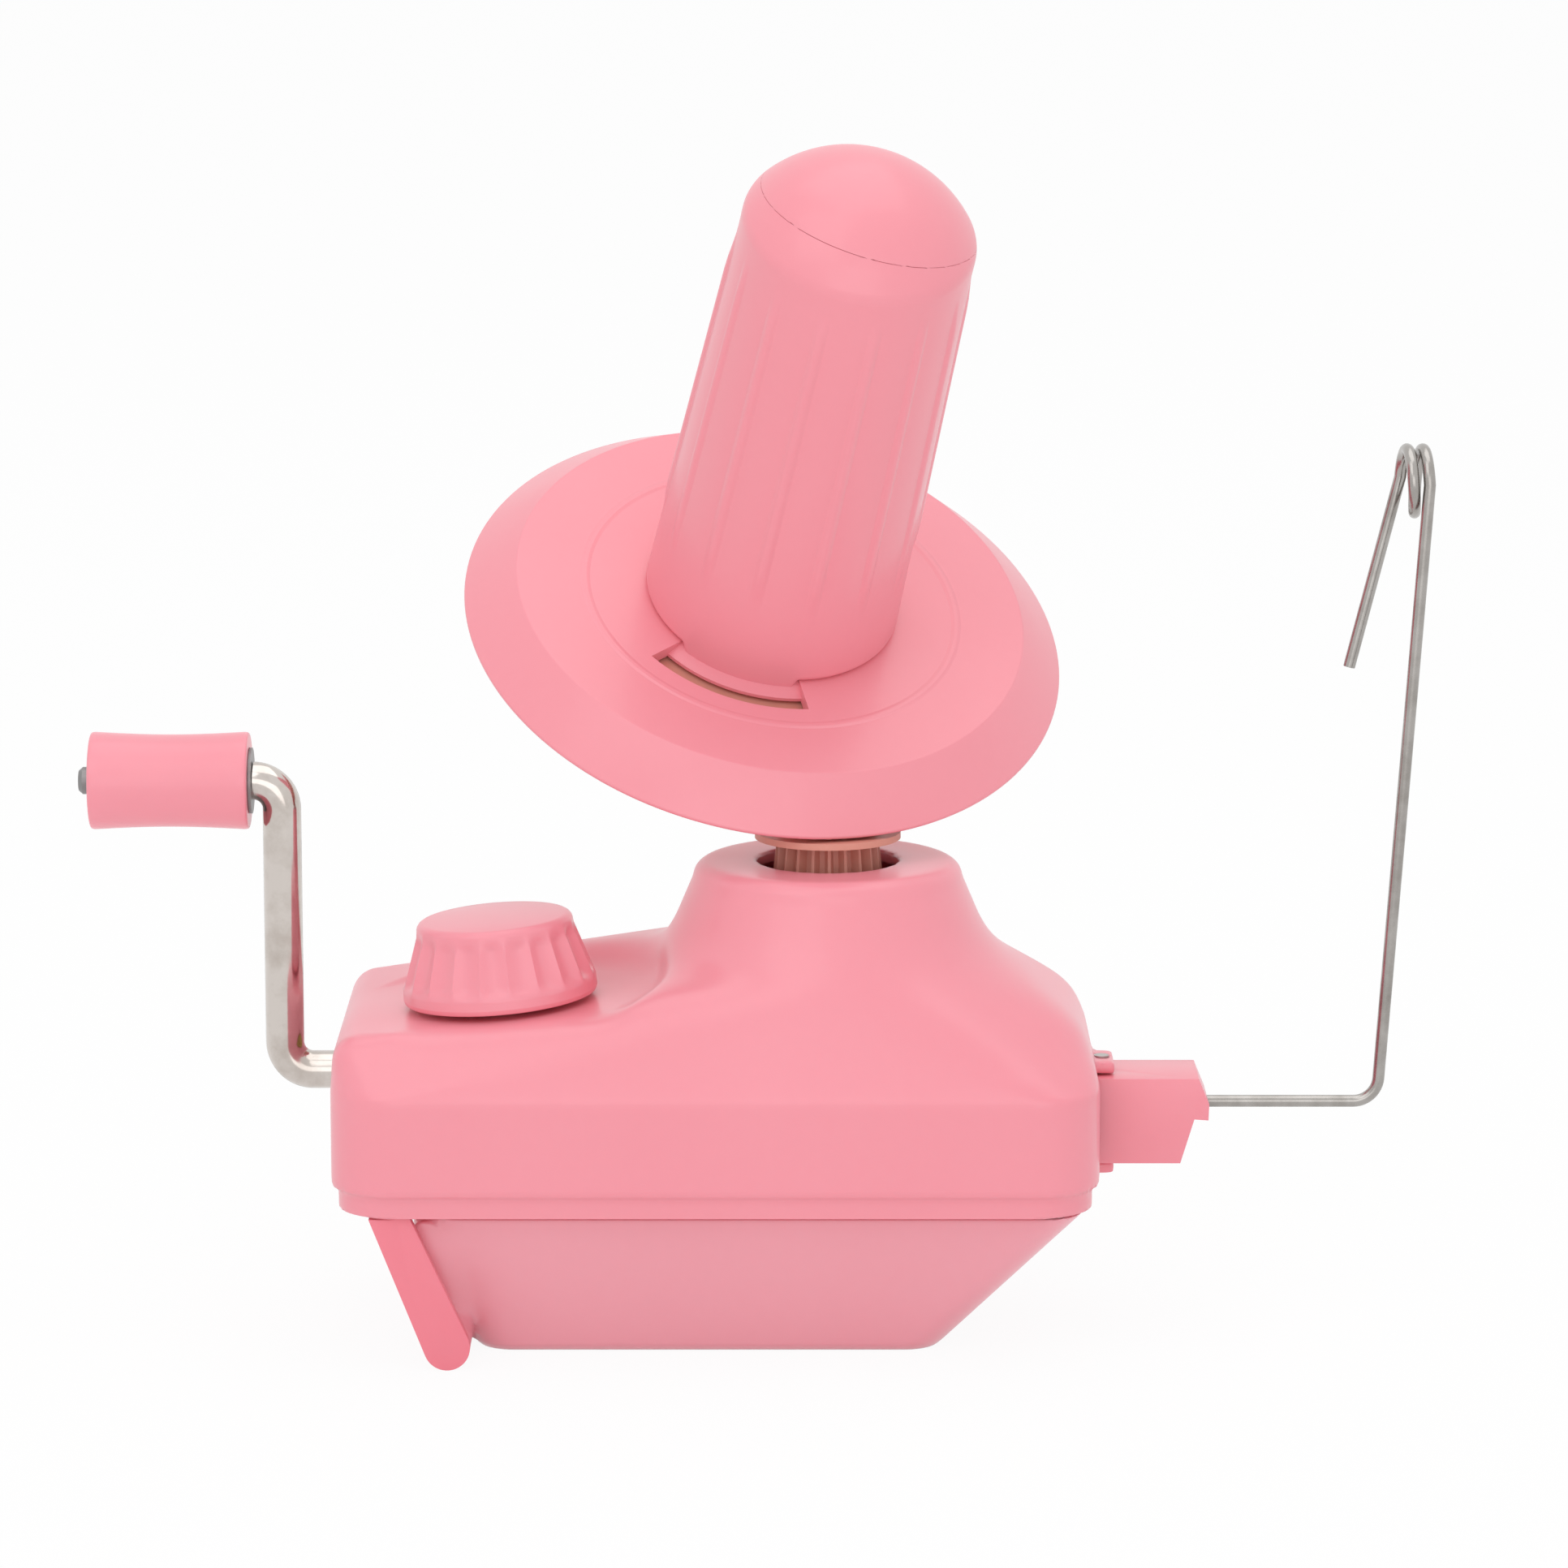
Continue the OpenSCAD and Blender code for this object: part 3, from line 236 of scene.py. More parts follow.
@dataclass(frozen=True)
class Moulding:
    """Injection-moulded plastic, or sheet rubber.

    Attributes:
        name: Name of the material.
        colour: Main colour.
        deep: Colour of the faintly darker flow.
        gloss: Roughness of the skin.
        grain: Height of the fine mould texture in metres.
        coat: Weight of the polished skin.
        glow: How much light soaks into the plastic.
    """

    name: str
    colour: Colour
    deep: Colour
    gloss: float = 0.33
    grain: float = 0.00002
    coat: float = 0.2
    glow: float = 0.08

    def make(self) -> bpy.types.Material:
        """Builds the material.

        Returns:
            The material.
        """
        material = bpy.data.materials.new(self.name)
        material.use_nodes = True
        graph = Graph(material.node_tree)
        where = graph.place()
        flow = graph.noise(graph.place((1, 1, 0.45)), 22, 1.5, 0.4)
        mottle = graph.noise(where, 420, 1)
        tint = graph.spread(flow * 0.8 + mottle * 0.2, 0.2, 0.8, 0, 1)
        skin = graph.noise(where, 2600, 2, 0.6)
        swell = graph.noise(where, 95, 1)
        polish = graph.noise(where, 50, 1.5, 0.4)
        shader = graph.node("ShaderNodeBsdfPrincipled", {}, {
            "Base Color": graph.blend(tint, self.colour, self.deep),
            "Roughness": graph.spread(polish, 0.15, 0.85, self.gloss - 0.05, self.gloss + 0.05),
            "Normal": graph.bump(skin * 0.6 + swell * 0.8, 0.35, self.grain),
            "IOR": 1.5,
            "Coat Weight": self.coat,
            "Coat Roughness": 0.14,
            "Subsurface Weight": self.glow,
            "Subsurface Radius": (1.0, 0.35, 0.4),
            "Subsurface Scale": 0.002})
        graph.node("ShaderNodeOutputMaterial", {}, {"Surface": shader}, None)
        return material


@dataclass(frozen=True)
class Metal:
    """Drawn, turned or plated metal.

    Attributes:
        name: Name of the material.
        colour: Main colour.
        dull: Colour of the worn patches.
        rough: Roughness of the clean metal.
        lines: Stretch of the fine lines on each axis.
        depth: Depth of the lines in metres.
    """

    name: str
    colour: Colour
    dull: Colour
    rough: float
    lines: tuple[float, float, float] = (1, 1, 1)
    depth: float = 0.00001

    def make(self) -> bpy.types.Material:
        """Builds the material.

        Returns:
            The material.
        """
        material = bpy.data.materials.new(self.name)
        material.use_nodes = True
        graph = Graph(material.node_tree)
        where = graph.place()
        strokes = graph.noise(graph.place(self.lines), 3200, 2, 0.6)
        patches = graph.noise(where, 130, 4, 0.6)
        worn = graph.spread(patches, 0.42, 0.75, 0, 1)
        rough = graph.spread(strokes * 0.5 + patches * 0.5, 0.3, 0.7, self.rough * 0.8, self.rough * 1.5)
        shader = graph.node("ShaderNodeBsdfPrincipled", {}, {
            "Base Color": graph.blend(worn, self.colour, self.dull),
            "Metallic": 1.0,
            "Roughness": rough,
            "Normal": graph.bump(strokes, 0.3, self.depth)})
        graph.node("ShaderNodeOutputMaterial", {}, {"Surface": shader}, None)
        return material


class Finish(Enum):
    """The finishes of the winder's pieces; the jaw's and the cover's pinks are copies of the shell's pink
    with painted light and painted shade.
    """

    SHELL = Moulding("pink_moulding", srgb(246, 153, 166), srgb(243, 148, 161))
    # Lighter copy of the pink moulding: painted light, standing in for the floor's bounce light on the tray's
    # downward-leaning front.
    JAW = Moulding("pink_jaw_painted_light", srgb(243, 165, 177), srgb(240, 160, 172))
    # Deeper pink copy of the pink moulding: painted shade, standing in for the shadow under the housing's
    # overhang on the cover's hinge legs.
    COVER = Moulding("pink_cover_painted_shade", srgb(244, 134, 149), srgb(241, 129, 144))
    SPOOL = Moulding("pink_spool_moulding", srgb(246, 153, 165), srgb(243, 148, 160), gloss=0.36, glow=0.03)
    GEAR = Moulding("tan_gear_plastic", srgb(226, 160, 144), srgb(202, 132, 114), 0.5, coat=0.0, glow=0.0)
    RUBBER = Moulding("pad_rubber", srgb(70, 64, 64), srgb(54, 50, 50), 0.75, 0.0001, coat=0.0, glow=0.0)
    ROD = Metal("plated_rod", srgb(208, 200, 194), srgb(186, 176, 168), 0.12, (0.08, 1, 0.08))
    WIRE = Metal("drawn_wire", srgb(172, 168, 164), srgb(144, 139, 134), 0.2, (1, 1, 0.05))
    STEEL = Metal("turned_steel", srgb(190, 188, 184), srgb(160, 156, 152), 0.3, (1, 1, 0.2))
    DARK = Metal("dark_steel", srgb(96, 90, 88), srgb(70, 66, 64), 0.4)
    BRONZE = Metal("bearing_bronze", srgb(186, 150, 96), srgb(150, 116, 70), 0.38)

    @property
    def material(self) -> bpy.types.Material:
        """The finish's material, made on first use."""
        return bpy.data.materials.get(self.value.name) or self.value.make()


class Bench:
    """Hand operations that the pieces are modelled with."""

    @staticmethod
    def clear() -> None:
        """Leaves edit mode and deselects everything."""
        if bpy.context.object and bpy.context.object.mode != "OBJECT":
            bpy.ops.object.mode_set(mode="OBJECT")
        bpy.ops.object.select_all(action="DESELECT")

    @staticmethod
    def pick(piece: bpy.types.Object) -> None:
        """Selects one piece alone."""
        Bench.clear()
        piece.select_set(True)
        bpy.context.view_layer.objects.active = piece

    @staticmethod
    def edit(piece: bpy.types.Object) -> None:
        """Opens one piece in edit mode with everything selected."""
        Bench.pick(piece)
        bpy.ops.object.mode_set(mode="EDIT")
        bpy.ops.mesh.select_all(action="SELECT")

    @staticmethod
    def copy_of(node: str, name: str) -> bpy.types.Object:
        """Copies a solid's mesh and merges its loose triangles.

        Args:
            node: Name of the solid.
            name: Name of the new piece.

        Returns:
            The piece.
        """
        piece = bpy.data.objects.new(name, frame["nodes"][node].data.copy())
        bpy.context.scene.collection.objects.link(piece)
        Bench.pick(piece)
        bpy.ops.mesh.customdata_custom_splitnormals_clear()
        Bench.edit(piece)
        bpy.ops.mesh.remove_doubles(threshold=MERGE)
        Bench.clear()
        return piece

    @staticmethod
    def turned(name: str, line: Line, steps: int, place: Matrix) -> bpy.types.Object:
        """Turns a line about Z.

        Args:
            name: Name of the new piece.
            line: Radius and height of each point in millimetres.
            steps: Faces around.
            place: Where the piece's own Z axis lies.

        Returns:
            The piece.
        """
        Bench.clear()
        bpy.ops.mesh.primitive_plane_add(size=MM)
        piece = bpy.context.object
        piece.name = name
        bpy.ops.object.mode_set(mode="EDIT")
        bpy.ops.mesh.select_all(action="SELECT")
        bpy.ops.mesh.merge(type="CENTER")
        last = Vector((0, 0, 0))
        for i, (radius, height) in enumerate(line):
            point = Vector((radius * MM, 0, height * MM))
            if i == 0:
                bpy.ops.transform.translate(value=point)
            else:
                bpy.ops.mesh.extrude_vertices_move(TRANSFORM_OT_translate={"value": point - last})
            last = point
        bpy.ops.mesh.select_all(action="SELECT")
        bpy.ops.mesh.spin(steps=steps, angle=2 * math.pi, center=(0, 0, 0), axis=(0, 0, 1))
        bpy.ops.mesh.select_all(action="SELECT")
        bpy.ops.mesh.remove_doubles(threshold=MERGE)
        bpy.ops.mesh.normals_make_consistent(inside=False)
        Bench.clear()
        piece.data.transform(place)
        return piece

    @staticmethod
    def bent(name: str, path: Sequence[Vector], radius: float) -> bpy.types.Object:
        """Bends a round bar along a path.

        Args:
            name: Name of the new piece.
            path: Points of the bar's middle line.
            radius: Radius of the bar.

        Returns:
            The piece.
        """
        Bench.clear()
        bpy.ops.curve.primitive_bezier_curve_add()
        piece = bpy.context.object
        piece.name = name
        curve = piece.data
        curve.splines.clear()
        spline = curve.splines.new("POLY")
        spline.points.add(len(path) - 1)
        for point, place in zip(spline.points, path):
            point.co = (*place, 1)
        curve.bevel_depth = radius
        curve.bevel_resolution = 6
        curve.use_fill_caps = True
        bpy.ops.object.convert(target="MESH")
        Bench.edit(piece)
        bpy.ops.mesh.remove_doubles(threshold=MERGE)
        bpy.ops.mesh.normals_make_consistent(inside=False)
        Bench.clear()
        return piece

    @staticmethod
    def modify(piece: bpy.types.Object, kind: str, **settings: object) -> None:
        """Adds a modifier and applies it.

        Args:
            piece: The piece.
            kind: Blender's type name of the modifier.
            settings: The modifier's attributes.
        """
        Bench.pick(piece)
        modifier = piece.modifiers.new(kind.lower(), kind)
        for name, value in settings.items():
            setattr(modifier, name, value)
        bpy.ops.object.modifier_apply(modifier=modifier.name)

    @staticmethod
    def soften(piece: bpy.types.Object, weight: Callable[[Vector], float], rounds: int) -> None:
        """Smooths part of a piece.

        Args:
            piece: The piece.
            weight: How much a point is smoothed, 0 to 1, by its place in metres.
            rounds: Rounds of smoothing.
        """
        group = piece.vertex_groups.new(name="soft")
        for vertex in piece.data.vertices:
            share = weight(vertex.co)
            if share > 0.01:
                group.add([vertex.index], share, "REPLACE")
        Bench.modify(piece, "SMOOTH", factor=0.5, iterations=rounds, vertex_group="soft")
        piece.vertex_groups.clear()

    @staticmethod
    def skinned(piece: bpy.types.Object, size: float, rounds: int) -> None:
        """Lays an even skin over a piece and rounds its edges.

        Args:
            piece: The piece.
            size: Size of the skin's faces in metres.
            rounds: Rounds of smoothing.
        """
        Bench.pick(piece)
        piece.data.remesh_voxel_size = size
        bpy.ops.object.voxel_remesh()
        Bench.modify(piece, "SMOOTH", factor=0.5, iterations=rounds)

    @staticmethod
    def eased(piece: bpy.types.Object, width: float, steps: int = 3) -> None:
        """Rounds the sharp edges of a piece with flat faces.

        Args:
            piece: The piece.
            width: Width of the rounding in metres.
            steps: Faces across the rounding.
        """
        Bench.edit(piece)
        bpy.ops.mesh.dissolve_limited(angle_limit=math.radians(1))
        Bench.clear()
        Bench.modify(piece, "BEVEL", width=width, segments=steps, limit_method="ANGLE",
                     angle_limit=math.radians(32), harden_normals=False)

    @staticmethod
    def settle(piece: bpy.types.Object, body: str, slot: str, finish: Finish, *nodes: str,
               crease: float = 35) -> None:
        """Finishes a piece and hangs it on its body.

        Args:
            piece: The piece.
            body: Body that it moves with.
            slot: The record's material slot; not used.
            finish: What it is made of.
            nodes: Solids that it stands for.
            crease: Edges sharper than this angle in degrees stay sharp.
        """
        Bench.pick(piece)
        bpy.ops.object.shade_smooth_by_angle(angle=math.radians(crease))
        piece.data.materials.clear()
        piece.data.materials.append(finish.material)
        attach(piece, body)
        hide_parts(*nodes)
        LOG.info("%s: %d faces on %s", piece.name, len(piece.data.polygons), body)


@dataclass
class Housing:
    """The moulded upper shell with its neck, and the bottom cover with its hinge legs.

    Attributes:
        skin: Size of the shell's faces in metres.
        skin_rounds: Rounds of smoothing of that skin.
        roof: Range of heights in which the roof is blended.
        roof_fade: Height over which the blending sets in.
        roof_rounds: Rounds of that blending.
        end_x: Where that blending stops before the left end.
        end_fade: Length over which it sets in there.
        neck_foot_z: Height of the foot of the neck.
        neck_foot_r: Radius of the foot of the neck.
        neck_spread: Height and width of the softened foot of the neck.
        neck_rounds: Rounds of that softening.
        edge: Rounding of the cover's edges.
    """

    skin: float = 0.9 * MM
    skin_rounds: int = 4
    roof: tuple[float, float] = (57 * MM, 80 * MM)
    roof_fade: float = 4 * MM
    roof_rounds: int = 160
    end_x: float = -84 * MM
    end_fade: float = 8 * MM
    neck_foot_z: float = 76 * MM
    neck_foot_r: float = 34 * MM
    neck_spread: tuple[float, float] = (7 * MM, 9 * MM)
    neck_rounds: int = 40
    edge: float = 0.6 * MM

    def _roof_share(self, place: Vector) -> float:
        """How much the roof's faces are blended at a place."""
        low, high = self.roof
        inside = min(place.z - low, high - place.z) / self.roof_fade
        return max(0.0, min(1.0, inside, (place.x - self.end_x) / self.end_fade))

    def _neck_share(self, place: Vector) -> float:
        """How much the foot of the neck is softened at a place."""
        tall, wide = self.neck_spread
        away = math.hypot(place.x, place.y) - self.neck_foot_r
        return math.exp(-((place.z - self.neck_foot_z) / tall) ** 2 - (away / wide) ** 2)

    def build(self) -> None:
        """Builds both mouldings."""
        shell = Bench.copy_of("upper_shell", "housing_shell")
        Bench.skinned(shell, self.skin, self.skin_rounds)
        Bench.soften(shell, self._roof_share, self.roof_rounds)
        Bench.soften(shell, self._neck_share, self.neck_rounds)
        Bench.settle(shell, "housing", "shell", Finish.SHELL, "upper_shell", crease=60)
        cover = Bench.copy_of("base_plate", "bottom_cover")
        Bench.eased(cover, self.edge)
        # The cover gets the deeper pink with painted shade.
        Bench.settle(cover, "housing", "shell", Finish.COVER, "base_plate")


@dataclass
class Clamp:
    """The hinged lower jaw and the knob that closes it.

    Attributes:
        skin: Size of the jaw's faces in metres.
        skin_rounds: Rounds of smoothing of that skin.
        wall_z: Heights of the foot and the top of the jaw's end wall.
        spine_x: Where the blending of the end wall starts.
        spine_fade: Length over which the blending sets in.
        spine_rise: Height over which it sets in at the foot.
        spine_fall: Height over which it ends at the top.
        spine_rounds: Rounds of that blending.
        lean_x: Where the end wall starts to lean.
        end_lean: How far the end wall leans out at its top.
        knob_place: Where the knob stands.
        knob_lean: Lean of the knob in degrees.
        knob_lift: Height of the knob's foot above the recess floor in millimetres.
        knob_r: Radius of the knob's foot.
        knob_top_r: Radius of the knob's top.
        knob_h: Height of the knob.
        flutes: Number of flutes.
        flute_depth: Depth of a flute.
    """

    skin: float = 0.8 * MM
    skin_rounds: int = 4
    wall_z: tuple[float, float] = (6 * MM, 28 * MM)
    spine_x: float = -52 * MM
    spine_fade: float = 8 * MM
    spine_rise: float = 6 * MM
    spine_fall: float = 2 * MM
    spine_rounds: int = 80
    lean_x: float = -64 * MM
    end_lean: float = 4.2 * MM
    knob_place: tuple[float, float, float] = (-64.2 * MM, -11 * MM, 67.2 * MM)
    knob_lean: float = 4.5
    knob_lift: float = 1.2
    knob_r: float = 19.0
    knob_top_r: float = 15.6
    knob_h: float = 16.2
    flutes: int = 20
    flute_depth: float = 1.0

    def build(self) -> None:
        """Builds the jaw and the knob."""
        jaw = Bench.copy_of("clamp_jaw", "clamp_tray")
        Bench.skinned(jaw, self.skin, self.skin_rounds)
        low, high = self.wall_z
        for vertex in jaw.data.vertices:
            rise = max(0.0, min(1.0, (vertex.co.z - low) / (high - low)))
            out = max(0.0, min(1.0, (self.lean_x - vertex.co.x) / self.spine_fade))
            vertex.co.x -= self.end_lean * rise * out
        Bench.soften(jaw, self._spine_share, self.spine_rounds)
        # The jaw gets the lighter pink with painted light.
        Bench.settle(jaw, "jaw", "shell", Finish.JAW, "clamp_jaw", crease=60)
        self._knob()

    def _spine_share(self, place: Vector) -> float:
        """How much the jaw's end wall is blended into its sides at a place."""
        low, high = self.wall_z
        inside = min((place.z - low) / self.spine_rise, (high - place.z) / self.spine_fall)
        return max(0.0, min(1.0, inside, (self.spine_x - place.x) / self.spine_fade))

    def _knob(self) -> None:
        """Turns the knob and presses its flutes."""
        side = [(self.knob_r - (self.knob_r - self.knob_top_r) * k / 12, 3 + (self.knob_h - 6) * k / 12, 0)
                for k in range(13)]
        line = rounded([(0, 0, 0), (self.knob_r - 0.2, 0, 0.5), (self.knob_r + 0.1, 1.0, 0.4),
                        (self.knob_r, 2.4, 0.6), *side, (self.knob_top_r - 0.4, self.knob_h - 0.4, 1.6),
                        (8, self.knob_h, 0), (0, self.knob_h + 0.2, 0)], 4)
        knob = Bench.turned("clamp_knob_cap", line, self.flutes * 14, Matrix.Identity(4))
        low, high = 3.2, self.knob_h - 2.4
        for vertex in knob.data.vertices:
            height = vertex.co.z / MM
            if low < height < high and vertex.co.xy.length > 0.6 * self.knob_top_r * MM:
                turn = math.atan2(vertex.co.y, vertex.co.x) * self.flutes / 2
                fade = min(1.0, (height - low) / 1.2, (high - height) / 1.6)
                press = self.flute_depth * fade * abs(math.cos(turn)) * MM
                vertex.co.xy *= 1 - press / vertex.co.xy.length
        stand = Matrix.Translation(self.knob_place) @ Matrix.Rotation(math.radians(-self.knob_lean), 4, "Y")
        knob.data.transform(stand @ Matrix.Translation((0, 0, self.knob_lift * MM)))
        Bench.settle(knob, "knob", "shell", Finish.SHELL, "clamp_knob", crease=50)


@dataclass
class Crank:
    """The bent rod and its turning grip.

    Attributes:
        axis_z: Height of the crank axis in millimetres.
        throw: Distance from the crank axis to the grip axis.
        arm_x: Place of the upright arm.
        inner_x: Inner end of the rod.
        rod_r: Radius of the rod.
        bend_r: Bend radius of the rod.
        grip_len: Length of the grip.
        grip_r: Radius of the grip's ends.
        waist: How much the grip is waisted.
        spindle_r: Radius of the spindle.
    """

    axis_z: float = 51.0
    throw: float = 58.3
    arm_x: float = -107.7
    inner_x: float = 16.0
    rod_r: float = 3.8
    bend_r: float = 5.6
    grip_len: float = 31.2
    grip_r: float = 9.6
    waist: float = 0.5
    spindle_r: float = 2.0

    @property
    def grip_z(self) -> float:
        """Height of the grip axis."""
        return self.axis_z + self.throw

    @property
    def grip_end_x(self) -> float:
        """Outer end of the grip."""
        return self.arm_x - self.bend_r - 0.7 - self.grip_len

    def _arc(self, centre: tuple[float, float], start: float, sweep: float) -> list[Vector]:
        """A bend of the rod.

        Args:
            centre: X and Z of the bend's centre.
            start: First angle in degrees from +X towards +Z.
            sweep: Angle of the bend in degrees.

        Returns:
            Points of the bend in metres.
        """
        steps = 16
        turns = [math.radians(start + sweep * k / steps) for k in range(steps + 1)]
        return [Vector((centre[0] + self.bend_r * math.cos(t), 0, centre[1] + self.bend_r * math.sin(t))) * MM
                for t in turns]

    def build(self) -> None:
        """Builds the rod and the grip."""
        low = (self.arm_x + self.bend_r, self.axis_z + self.bend_r)
        high = (self.arm_x - self.bend_r, self.grip_z - self.bend_r)
        start = Vector((self.inner_x, 0, self.axis_z)) * MM
        path = [start, *self._arc(low, -90, -90), *self._arc(high, 0, 90)]
        rod = Bench.bent("crank_bar", path, self.rod_r * MM)
        spindle = Bench.bent("grip_spindle", [Vector((high[0] + 1, 0, self.grip_z)) * MM,
                                              Vector((self.grip_end_x - 1.8, 0, self.grip_z)) * MM],
                             self.spindle_r * MM)
        Bench.pick(rod)
        spindle.select_set(True)
        bpy.ops.object.join()
        Bench.settle(rod, "crank", "rod", Finish.ROD, "crank_rod")
        side = [(self.grip_r - self.waist * math.sin(math.pi * t), 0.9 + (self.grip_len - 1.8) * t, 0)
                for t in [k / 16 for k in range(17)]]
        line = rounded([(self.spindle_r + 0.1, 0, 0), (self.grip_r - 0.1, 0, 0.8), *side,
                        (self.grip_r - 0.1, self.grip_len, 0.8), (self.spindle_r + 0.1, self.grip_len, 0),
                        (self.spindle_r + 0.1, 0, 0)])
        end = Matrix.Translation((self.grip_end_x * MM, 0, self.grip_z * MM))
        grip = Bench.turned("crank_grip", line, 96, end @ Matrix.Rotation(math.pi / 2, 4, "Y"))
        Bench.settle(grip, "grip", "shell", Finish.SHELL, "grip")


@dataclass
class Spool:
    """The tilted spool: flange with ring teeth, ribbed barrel and lid.

    Attributes:
        tilt: Lean of the axis in degrees.
        lean_az: Direction of the lean in degrees from +X.
        apex_z: Height where the axes cross, in millimetres.
        plate_z: Height of the plate's top on the spool axis.
        plate_t: Thickness of the plate.
        plate_r: Radius of the plate.
        rim_r: Radius of the rim.
        rim_z: Height of the rim's lower edge.
        hub_r: Radius of the hub.
        bore_r: Radius of the bore.
        hub_top: Height of the hub's top.
        ring_line_r: Radius of the faint ring on the plate.
        ring_line_h: Height of that ring.
        steps: Faces around the flange.
        slot: Inner radius, outer radius, first angle and sweep of the arc slot.
        teeth: Number of ring teeth.
        tooth_low: Tip radius, root radius, tip half angle and root half angle of a tooth at the rim.
        tooth_high_share: Size of a tooth under the plate, as a share of that.
        slot_ramp: Depth of the ramp from the barrel's foot to the slot.
        barrel_foot_r: Radius of the barrel's foot.
        foot_round: Rounding of the foot.
        barrel_top_r: Radius of the barrel's upper end.
        wall_top_z: Height of the upper end of the straight wall.
        dome_r: Radius of the dome.
        dome_z: Height of the dome's centre.
        edge_r: Rounding between wall and dome.
        lid_lean: Lean of the lid's seam in degrees.
        lid_az: Direction of that lean in degrees.
        lid_h: Distance of the seam from the dome's centre.
        seam: Width of the seam.
        wall: Wall of the barrel.
        ribs: Number of ribs.
        rib_az: Direction of the first rib in degrees.
        rib_w: Width of a rib.
        rib_h: Height of a rib.
        rib_steps: Faces around the barrel for each rib.
        rib_low: Height of the ribs' lower end above the foot.
        rib_fades: Lengths over which a rib rises at its lower and its upper end.
        reach_fades: Angles over which the wall reaches into the slot's ramp at its two ends.
        lid_edge: Rounding of the lid's edge.
    """

    tilt: float = 33.2
    lean_az: float = -70.6
    apex_z: float = 192.4
    plate_z: float = -61.6
    plate_t: float = 2.5
    plate_r: float = 51.77
    rim_r: float = 61.29
    rim_z: float = -71.2
    hub_r: float = 7.4
    bore_r: float = 5.02
    hub_top: float = 8.0
    ring_line_r: float = 37.8
    ring_line_h: float = 0.18
    steps: int = 160
    slot: tuple[float, float, float, float] = (28.2, 33.2, -62.8, 59.6)
    slot_ramp: float = 1.8
    teeth: int = 128
    tooth_low: tuple[float, float, float, float] = (56.37, 58.55, 0.246, 0.865)
    tooth_high_share: float = 64.1 / 71.2
    barrel_foot_r: float = 25.7
    foot_round: float = 2.4
    barrel_top_r: float = 22.9
    wall_top_z: float = 27.69
    dome_r: float = 26.6
    dome_z: float = 19.6
    edge_r: float = 5.0
    lid_lean: float = 14.2
    lid_az: float = 138.2
    lid_h: float = 15.24
    seam: float = 0.1
    wall: float = 2.0
    ribs: int = 14
    rib_az: float = -6.0
    rib_w: float = 2.8
    rib_h: float = 0.65
    rib_steps: int = 44
    rib_low: float = 18.0
    rib_fades: tuple[float, float] = (6.0, 8.0)
    reach_fades: tuple[float, float] = (4.0, 3.0)
    lid_edge: float = 0.7

    @property
    def stand(self) -> Matrix:
        """Where the spool's own axis lies."""
        return (Matrix.Translation((0, 0, self.apex_z * MM))
                @ Matrix.Rotation(math.radians(self.lean_az), 4, "Z")
                @ Matrix.Rotation(math.radians(self.tilt), 4, "Y"))

    def build(self) -> None:
        """Builds the flange, the barrel and the lid."""
        self._flange()
        self._barrel()
        self._lid()

    def _flange(self) -> None:
        """Turns the flange, cuts its slot and sets its teeth."""
        under = self.plate_z - self.plate_t
        root = self.tooth_low[1]
        ring, ring_z = self.ring_line_r, self.plate_z + self.ring_line_h
        line = rounded([(self.bore_r, under, 0), (root * self.tooth_high_share, under, 0.6),
                        (root, self.rim_z, 0.3), (self.rim_r - 0.9, self.rim_z, 0.5),
                        (self.rim_r, self.rim_z + 0.9, 0.9), (self.plate_r, self.plate_z, 0.6),
                        (ring + 1.1, self.plate_z, 0.5), (ring + 0.5, ring_z, 0.4),
                        (ring - 0.2, ring_z, 0.4), (ring - 0.9, self.plate_z, 0.5),
                        (self.hub_r, self.plate_z, 0), (self.hub_r, self.hub_top, 0),
                        (self.bore_r, self.hub_top, 0), (self.bore_r, under, 0)])
        flange = Bench.turned("spool_disc", line, self.steps, Matrix.Identity(4))
        cutter = self._slot_cutter()
        Bench.modify(flange, "BOOLEAN", operation="DIFFERENCE", solver="EXACT", object=cutter)
        bpy.data.objects.remove(cutter)
        teeth = self._ring_teeth()
        Bench.pick(flange)
        teeth.select_set(True)
        bpy.ops.object.join()
        flange.data.transform(self.stand)
        Bench.settle(flange, "spool", "spool", Finish.SPOOL, "spool_flange", crease=28)

    def _slot_cutter(self) -> bpy.types.Object:
        """Makes the form that cuts the arc slot.

        Returns:
            The cutting form.
        """
        inner, outer, start, sweep = self.slot
        low, high = self.plate_z - self.plate_t - 1, self.plate_z + 1
        foot = self.barrel_foot_r - self.foot_round
        line = [(foot, self.plate_z), (inner, self.plate_z - self.slot_ramp), (inner, low), (outer, low),
                (outer, high), (foot, high), (foot, self.plate_z)]
        cutter = Bench.turned("slot_form", line, self.steps, Matrix.Identity(4))
        for angle, side in ((start, 1), (start + sweep, -1)):
            turn = math.radians(angle)
            way = Vector((math.sin(turn), -math.cos(turn), 0)) * side
            Bench.edit(cutter)
            bpy.ops.mesh.bisect(plane_co=(0, 0, 0), plane_no=way, use_fill=True, clear_outer=True)
            Bench.clear()
        return cutter

